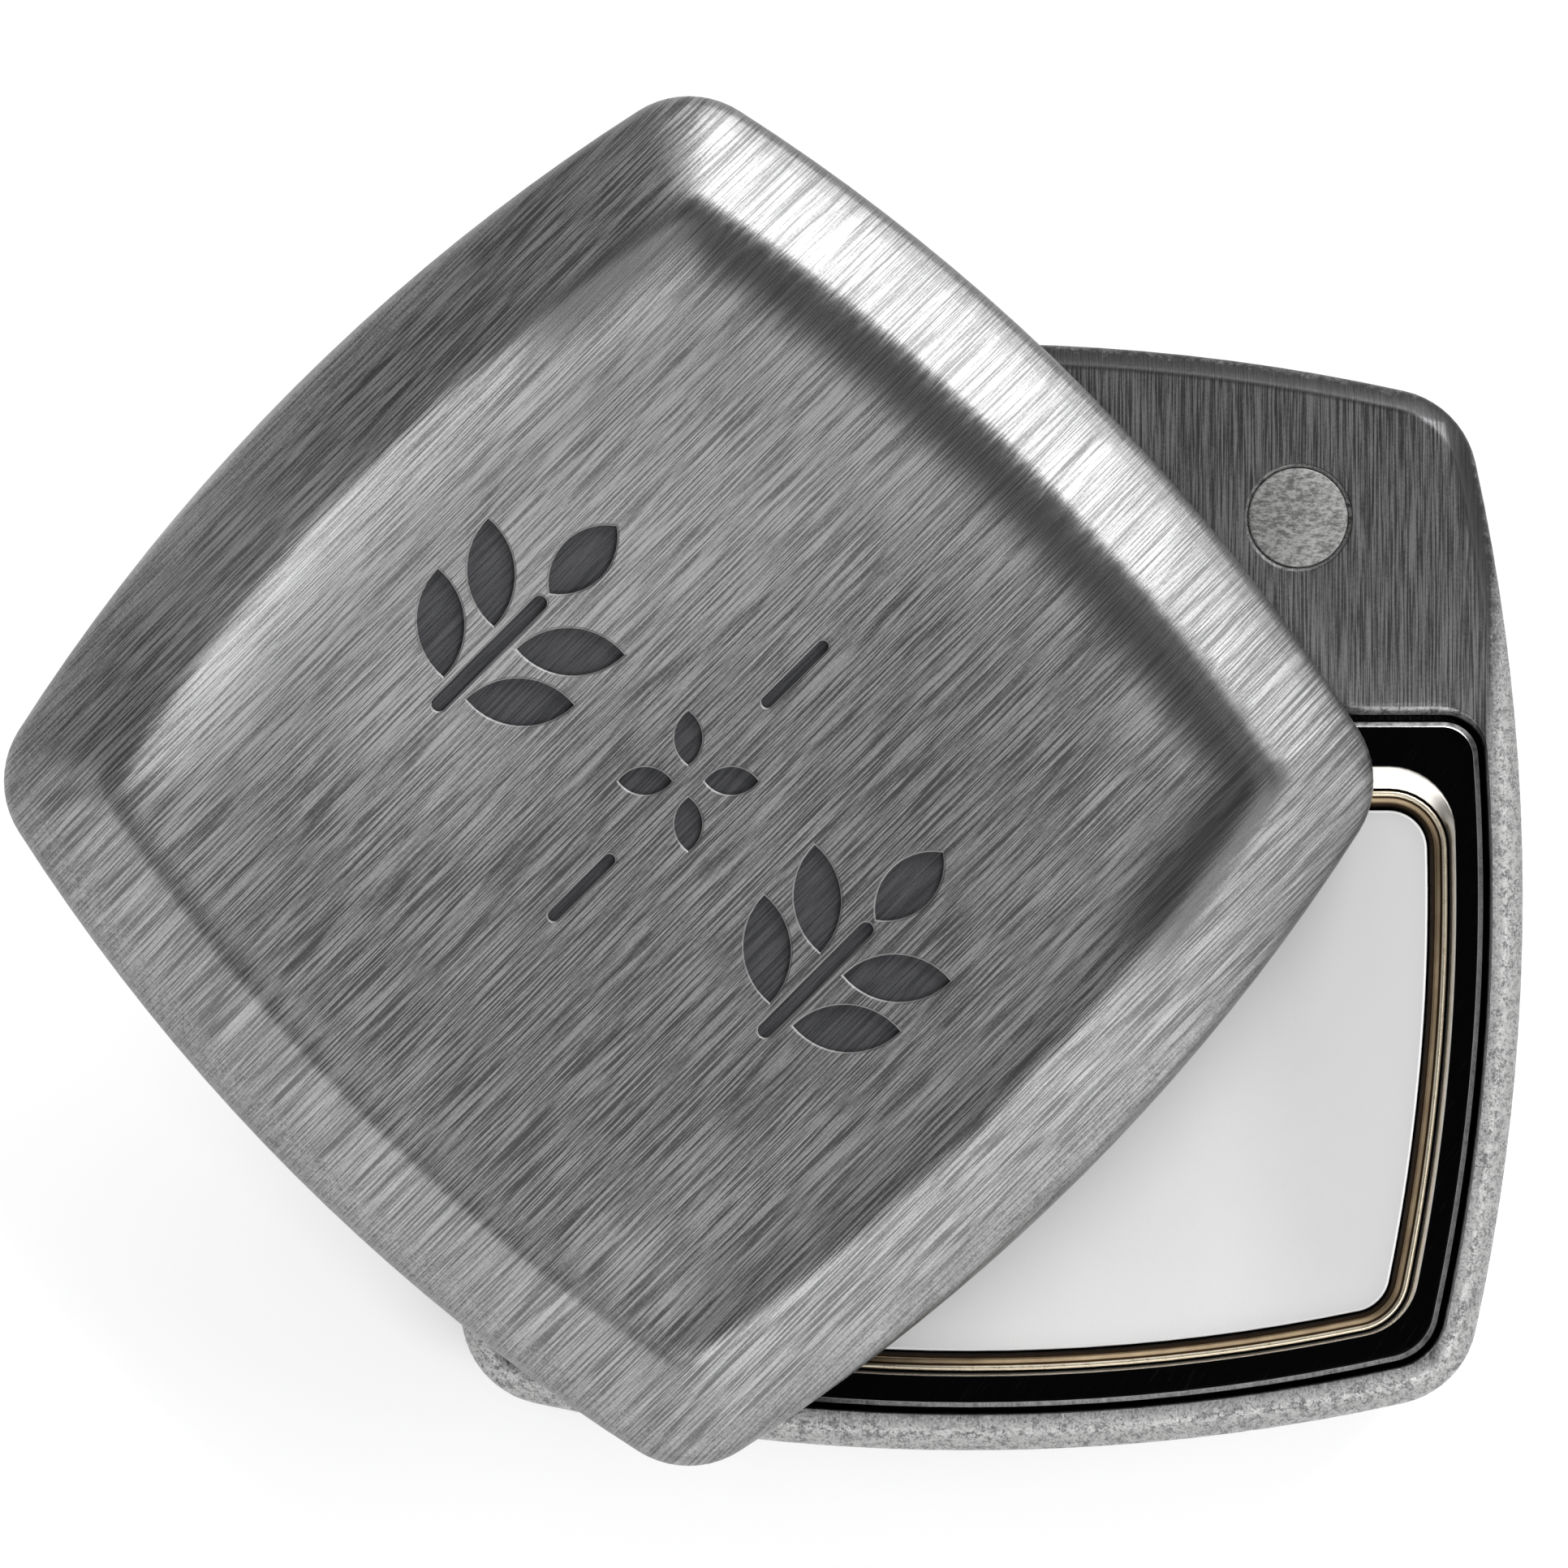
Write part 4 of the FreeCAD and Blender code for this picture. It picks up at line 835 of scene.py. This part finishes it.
def gloss_black(name):
    """Polished black moulding; its slope and its outer edge get a painted highlight, pale and
    metallic.
    """
    black = Finish(name, Specular_IOR_Level=0.03)
    where = black.mapped()
    x, y, z = black.axes(where)
    inset = rim_inset(black, x, y)
    waves = black.noise(where, 0.35, 2.0)
    scuffs = black.noise(black.mapped(0.6, (0, 0, 0), (9.0, 0.5, 9.0)), 1.0, 4.0, 0.7)
    worn = black.fade(scuffs, 0.58, 0.72)
    sunk = black.fade(z, TRAY_TOP - 0.01, TRAY_TOP - 0.03)
    raised = black.fade(z, RAMP_FOOT - 0.05, RAMP_FOOT + 0.02)
    within = black.fade(inset, SLOPE_HIGHLIGHT_FROM_RIM, SLOPE_HIGHLIGHT_FROM_RIM + 0.2)
    within = within * black.fade(y, SLOPE_HIGHLIGHT_TOP, SLOPE_HIGHLIGHT_TOP - 0.2)
    slope = sunk * raised * within
    edge_foot = TRAY_TOP - BRIGHT_EDGE_DEPTH
    edge = sunk * (1.0 - within) * black.fade(z, edge_foot, edge_foot + 0.02)
    colour = black.blend(worn, BLACK, BLACK_SCUFF)
    # Painted highlight: the slope round the pan and the outer edge are coloured pale and metallic.
    colour = black.blend(slope, colour, black.blend(waves, HIGHLIGHT_DULL, HIGHLIGHT_BRIGHT))
    colour = black.blend(edge, colour, EDGE_HIGHLIGHT)
    rough = 0.07 + 0.05 * waves + 0.1 * worn + 0.24 * slope + 0.08 * edge
    return black.feed(Base_Color=colour, Roughness=rough, Metallic=slope.most(edge),
                      Normal=black.bump(waves + 0.05 * scuffs, 0.01, 0.6))


place(tray, "base", "tray_plastic", gloss_black("tray_black"), "cartridge_tray")

# ---------------------------------------------------------------- refill pan
# The pan is pressed from gold-lacquered tinplate.  Its rim is rolled to a fine bead that catches
# the light, and its wall rolls down from the bead; below the bead its shoulder is painted tan and
# its wall dark brown, as painted shade.

PAN_BEAD = 0.27
PAN_FLOOR = 2.5
PAN_METAL = 0.2
BEAD_STEPS = 8
BEAD_START = -20
BEAD_TURN = 140
ROLL_STEPS = 8
ROLL_HEAD = 0.1
ROLL_FOOT = 0.75
PRESSED_EDGE = 0.4
PRESSED_CORNER = 0.3
PAN_SOFT_ANGLE = math.radians(50)
GOLD = ((0.62, 0.53, 0.38), (0.82, 0.74, 0.6))
WALL_PAINTED_SHADE = ((0.012, 0.007, 0.004), (0.05, 0.028, 0.013))
SHOULDER_PAINTED_SHADE = ((0.16, 0.1, 0.055), (0.5, 0.4, 0.26))
_, pan_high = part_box("refill_pan")
PAN_RIM = pan_high.z / MM

bm = bmesh.new()
loops = [pan_outline(bm, PAN_WALL + PRESSED_EDGE, PAN_FLOOR),
         pan_outline(bm, PAN_WALL, PAN_FLOOR + PRESSED_EDGE),
         pan_outline(bm, PAN_WALL, PAN_SEAT), pan_outline(bm, PAN_BEAD / 2, PAN_SEAT)]
bead_centre = PAN_RIM - PAN_BEAD / 2
for step in range(BEAD_STEPS + 1):
    angle = math.radians(BEAD_START + BEAD_TURN * step / BEAD_STEPS)
    loops.append(pan_outline(bm, PAN_BEAD / 2 * (1 - math.cos(angle)),
                             bead_centre + PAN_BEAD / 2 * math.sin(angle)))
roll_from = PAN_BEAD
roll_to = PAN_WALL + PAN_METAL
roll_high = PAN_RIM - ROLL_HEAD
roll_low = PAN_RIM - ROLL_FOOT
for step in range(1, ROLL_STEPS + 1):
    angle = math.pi / 2 * step / ROLL_STEPS
    loops.append(pan_outline(bm, roll_from + (roll_to - roll_from) * math.sin(angle),
                             roll_low + (roll_high - roll_low) * math.cos(angle)))
loops.append(pan_outline(bm, roll_to, PAN_FLOOR + PAN_METAL + PRESSED_CORNER))
loops.append(pan_outline(bm, roll_to + PRESSED_CORNER, PAN_FLOOR + PAN_METAL))
skin(bm, loops)
pan = to_object(bm, "pan_pressing")
smooth(pan, PAN_SOFT_ANGLE)


def gold_tinplate(name):
    """Drawn gold-lacquered tinplate: a pale bead, painted shade below it, tan then dark brown."""
    tin = Finish(name, Metallic=1.0)
    where = tin.mapped()
    _, _, z = tin.axes(where)
    drawn = tin.noise(tin.mapped(0.0, (0, 0, 0), (3.0, 3.0, 0.3)), 1.0, 4.0, 0.65)
    cloud = tin.noise(where, 0.7, 3.0)
    shaded_wall = tin.fade(z, PAN_RIM - 0.03, PAN_RIM - 0.06)
    shaded_shoulder = tin.fade(z, PAN_RIM - 0.1, PAN_RIM - 0.12) * tin.fade(z, PAN_RIM - 0.24, PAN_RIM - 0.15)
    pale = tin.blend(drawn, *GOLD)
    wall_shade_colour = tin.blend(cloud, *WALL_PAINTED_SHADE)
    wall_shade_colour = tin.blend(shaded_shoulder, wall_shade_colour, tin.blend(cloud, *SHOULDER_PAINTED_SHADE))
    rough = 0.2 + 0.18 * drawn + 0.12 * shaded_wall
    return tin.feed(Base_Color=tin.blend(shaded_wall, pale, wall_shade_colour), Roughness=rough,
                    Normal=tin.bump(drawn, 0.005, 0.7))


place(pan, "base", "pan_tinplate", gold_tinplate("pan_gold_lacquer"), "refill_pan")

# ---------------------------------------------------------------- solid balm
# The balm is wax and scented oils, poured hot into the pan: satin white, level, with a faint
# round-over where it shrank from the wall and the slight ripple of a poured surface.

BALM_GAP = 0.13
BALM_EDGE = 0.16
BALM_EDGE_STEPS = 6
BALM_FOOT_EDGE = 0.35
WAX = ((0.48, 0.48, 0.486), (0.64, 0.64, 0.635))
WAX_EDGE_HIGHLIGHT = (0.86, 0.86, 0.85)
balm_low, balm_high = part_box("solid_balm")
BALM_TOP = balm_high.z / MM
BALM_LOW = balm_low.z / MM
balm_inset = roll_to + BALM_GAP

bm = bmesh.new()
loops = [pan_outline(bm, balm_inset + BALM_FOOT_EDGE, BALM_LOW),
         pan_outline(bm, balm_inset, BALM_LOW + BALM_FOOT_EDGE)]
loops += [pan_outline(bm, balm_inset + out, BALM_TOP - down)
          for out, down in quarter_round(BALM_EDGE, BALM_EDGE_STEPS)]
skin(bm, loops)
balm = to_object(bm, "balm_fill")
smooth(balm, SOFT_ANGLE)


def white_wax(name):
    """Satin white wax: faint warm and cool clouds, fine bloom, a poured ripple and painted light.
    """
    wax = Finish(name, Specular_IOR_Level=0.4)
    where = wax.mapped()
    cloud = wax.noise(where, 0.16, 3.0)
    bloom = wax.noise(where, 7.0, 4.0, 0.7)
    ripple = wax.noise(where, 0.3, 2.0, 0.4, 0.6)
    x, y, z = wax.axes(where)
    # Painted light and shade: the wax is painted lighter towards the lower left and darker at its
    # right edge.
    level = 0.3 * cloud + 0.25 * bloom + wax.fade(x + y, 16.0, -20.0, 0.0, 0.35)
    level = level - wax.fade(x, 11.0, 17.0, 0.0, 0.35)
    colour = wax.blend(level, *WAX)
    # Painted highlight: a pale line just under the top, along the wax's rounded edge.
    colour = wax.blend(wax.fade(z, BALM_TOP - 0.003, BALM_TOP - 0.02), colour, WAX_EDGE_HIGHLIGHT)
    rough = 0.38 + 0.18 * bloom
    return wax.feed(Base_Color=colour, Roughness=rough,
                    Normal=wax.bump(ripple + 0.06 * bloom, 0.05, 0.6))


place(balm, "base", "balm", white_wax("balm_wax"), "solid_balm")

# ---------------------------------------------------------------- magnets
# Five nickel-plated discs.  The four closing magnets sit a hair below the metal in glued seats,
# their faces dulled by the antique bath; the wide one lies under the cartridge.

MAGNET_EDGE = 0.1
DISC_EDGE_STEPS = 4
NICKEL = ((0.1, 0.1, 0.1), (0.42, 0.42, 0.41))


def disc(name, node, edge):
    """A disc with softened edges, where the node stands."""
    low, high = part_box(node)
    centre = (low + high) / 2 / MM
    radius = (high.x - low.x) / 2 / MM
    bottom, top = low.z / MM, high.z / MM
    softened = quarter_round(edge, DISC_EDGE_STEPS)
    stops = [(bottom + down, radius - out) for out, down in reversed(softened)]
    stops += [(top - down, radius - out) for out, down in softened]
    made = drill(name, centre.x, centre.y, stops)
    smooth(made)
    return made


def dull_nickel(name):
    """Nickel plate, blasted dull, with darker specks left by the bath."""
    nickel = Finish(name, Metallic=1.0)
    where = nickel.mapped()
    grit = nickel.noise(nickel.mapped(0.0, (0, 0, 0), (2.6, 5.0, 4.0)), 1.0, 5.0, 0.8)
    cloud = nickel.noise(where, 0.6, 3.0)
    specks = nickel.fade(grit, 0.38, 0.62)
    colour = nickel.blend(specks * 0.75 + cloud * 0.25, *NICKEL)
    return nickel.feed(Base_Color=colour, Roughness=0.42 + 0.2 * grit,
                       Normal=nickel.bump(grit, 0.03, 0.8))


nickel = dull_nickel("magnet_nickel")
for node, body in (("base_magnet_left", "base"), ("base_magnet_right", "base"),
                   ("cartridge_magnet", "base"), ("lid_magnet_left", "lid"),
                   ("lid_magnet_right", "lid")):
    magnet = disc(node + "_disc", node, MAGNET_EDGE)
    place(magnet, body, "magnet", nickel, node)

# ---------------------------------------------------------------- pivot cap
# A turned zinc plug glued over the screw in the back, finished to match the casting round it.

CAP_EDGE = 0.14
cap = disc("pivot_plug", "pivot_cap", CAP_EDGE)
CAP_TONE = (0.2, 0.2, 0.202)
cap_zinc = antique_zinc("cap_zinc", 0.0, CAP_TONE, relief=0.0, worn_from=LAND)
place(cap, "base", "cap_casting", cap_zinc, "pivot_cap")


# ---------------------------------------------------------------- pivot hardware
# Turned and stamped stock parts: a blackened shoulder screw, a brass insert, a bronze bush, two
# bright washers and a slippery plastic one.  Their CAD shapes stay and get their finishes.

def turned_metal(name, tone, rough):
    """Machined metal with fine tool rings about the pivot."""
    metal = Finish(name, Metallic=1.0)
    x, y, z = metal.axes(metal.mapped())
    radius = ((x - PIVOT.x) ** 2.0 + (y - PIVOT.y) ** 2.0) ** 0.5
    spots = metal.node("ShaderNodeCombineXYZ", X=radius, Y=z)
    rings = metal.noise(spots.outputs["Vector"], 14.0, 3.0, 0.6)
    cloud = metal.noise(metal.mapped(), 0.9, 3.0)
    dark = tuple(part * 0.7 for part in tone)
    bright = tuple(min(1.0, part * 1.2) for part in tone)
    colour = metal.blend(0.6 * rings + 0.4 * cloud, dark, bright)
    return metal.feed(Base_Color=colour, Roughness=rough + 0.15 * rings,
                      Normal=metal.bump(rings, 0.01, 0.8))


def dull_plastic(name, tone, rough):
    """Cut or moulded sheet with a fine matt grain."""
    sheet = Finish(name)
    where = sheet.mapped()
    grain = sheet.noise(where, 9.0, 3.0, 0.6)
    cloud = sheet.noise(where, 0.8, 3.0)
    colour = sheet.blend(0.5 * grain + 0.5 * cloud, tuple(part * 0.88 for part in tone), tone)
    return sheet.feed(Base_Color=colour, Roughness=rough + 0.1 * grain,
                      Normal=sheet.bump(grain, 0.01, 0.6))


hardware = {
    "pivot_screw": turned_metal("screw_black_steel", (0.13, 0.13, 0.14), 0.38),
    "pivot_insert": turned_metal("insert_brass", (0.80, 0.62, 0.30), 0.28),
    "pivot_bush": turned_metal("bush_bronze", (0.55, 0.36, 0.2), 0.4),
    "thrust_washer": turned_metal("washer_steel", (0.6, 0.6, 0.61), 0.3),
    "glide_washer": dull_plastic("glide_white", (0.86, 0.86, 0.84), 0.42),
    "pan_adhesive_pad": dull_plastic("adhesive_film", (0.8, 0.78, 0.7), 0.5),
}
hardware["spring_washer"] = hardware["thrust_washer"]
for node, finish in hardware.items():
    cad_node = frame["nodes"][node]
    cad_node.data.materials.clear()
    cad_node.data.materials.append(finish)

# ---------------------------------------------------------------- studio
# A plain white sweep, glowing except at its lower end, a strong soft box at the upper right,
# weaker ones all round and one nearly overhead, and a dim room.  The camera looks straight down
# through a long lens, a little to the right of the lid's middle.

FLOOR_SIZE = 1.6
FLOOR_DROP = 0.00002
SWEEP_DIM_Y = -22.0
PAPER = ((0.76, 0.76, 0.76), (0.78, 0.78, 0.78))
PAPER_UNDER_GLOW = (0.05, 0.05, 0.05)
GLOW_LOW = (0.3, 0.3, 0.3)
GLOW_HIGH = (1.0, 1.0, 1.0)
bm = bmesh.new()
bmesh.ops.create_grid(bm, x_segments=1, y_segments=1, size=FLOOR_SIZE / 2)
floor = to_object(bm, "floor", Matrix.Translation((0, 0, base_low.z - FLOOR_DROP)))
paper = Finish("white_paper", Roughness=0.9, Specular_IOR_Level=0.1, Emission_Strength=1.0)
fibre = paper.noise(paper.mapped(), 0.05, 2.0)
_, paper_y, _ = paper.axes(paper.mapped())
lit_from_below = paper.fade(paper_y, SWEEP_DIM_Y, 0.0)
floor.data.materials.append(paper.feed(
    Base_Color=paper.blend(lit_from_below, paper.blend(fibre, *PAPER), PAPER_UNDER_GLOW),
    Emission_Color=paper.blend(lit_from_below, GLOW_LOW, GLOW_HIGH)))

LENS = 230.0
SENSOR = 36.0
FRAME_WIDTH = 0.0732
FRAME_HEIGHT_Z = 0.011
CAMERA_OFF_LID = Vector((0.00444, -0.00014, 0.0))
CLIP_NEAR = 0.01
CLIP_FAR = 10.0
lid_centre = OPENED @ Vector((0.0, 0.0, 0.0))
camera_data = bpy.data.cameras.new("camera")
camera_data.lens = LENS
camera_data.sensor_width = SENSOR
camera = bpy.data.objects.new("camera", camera_data)
camera_height = FRAME_HEIGHT_Z + FRAME_WIDTH * LENS / SENSOR
camera.location = lid_centre + CAMERA_OFF_LID + Vector((0, 0, camera_height))
bpy.context.scene.collection.objects.link(camera)
bpy.context.scene.camera = camera
camera_data.clip_start = CLIP_NEAR
camera_data.clip_end = CLIP_FAR

AIM = Vector((-0.009, 0.004, 0.01))
ROOM_GREY = (0.27, 0.27, 0.273, 1.0)


def soft_box(name, azimuth, off_zenith, distance, width, height, radiance):
    """A rectangular soft box that faces the case; its level doesn't depend on its size."""
    azimuth = math.radians(azimuth)
    off_zenith = math.radians(off_zenith)
    away = Vector((math.sin(off_zenith) * math.cos(azimuth),
                   math.sin(off_zenith) * math.sin(azimuth), math.cos(off_zenith)))
    data = bpy.data.lights.new(name, "AREA")
    data.shape = "RECTANGLE"
    data.size = width
    data.size_y = height
    data.energy = radiance * math.pi * width * height
    box = bpy.data.objects.new(name, data)
    box.location = AIM + away * distance
    box.rotation_mode = "QUATERNION"
    box.rotation_quaternion = away.to_track_quat("Z", "Y")
    bpy.context.scene.collection.objects.link(box)


soft_box("key_upper_right", 57, 60, 0.7, 0.46, 0.34, 9.0)
soft_box("strip_top", 98, 62, 0.7, 0.20, 0.24, 1.9)
soft_box("fill_right", 0, 62, 0.7, 0.30, 0.30, 3.2)
soft_box("fill_lower_right", -45, 62, 0.7, 0.50, 0.30, 2.6)
soft_box("fill_below", -90, 62, 0.7, 0.35, 0.26, 2.5)
soft_box("fill_lower_left", 225, 62, 0.7, 0.50, 0.30, 2.2)
soft_box("fill_left", 176, 62, 0.7, 0.25, 0.30, 1.5)
soft_box("overhead", -48, 28, 1.0, 0.50, 0.36, 5.4)

world = bpy.data.worlds.new("room")
bpy.context.scene.world = world
world.use_nodes = True
room = world.node_tree.nodes["Background"]
room.inputs["Color"].default_value = ROOM_GREY
room.inputs["Strength"].default_value = 1.0
bpy.context.scene.view_settings.view_transform = "Standard"
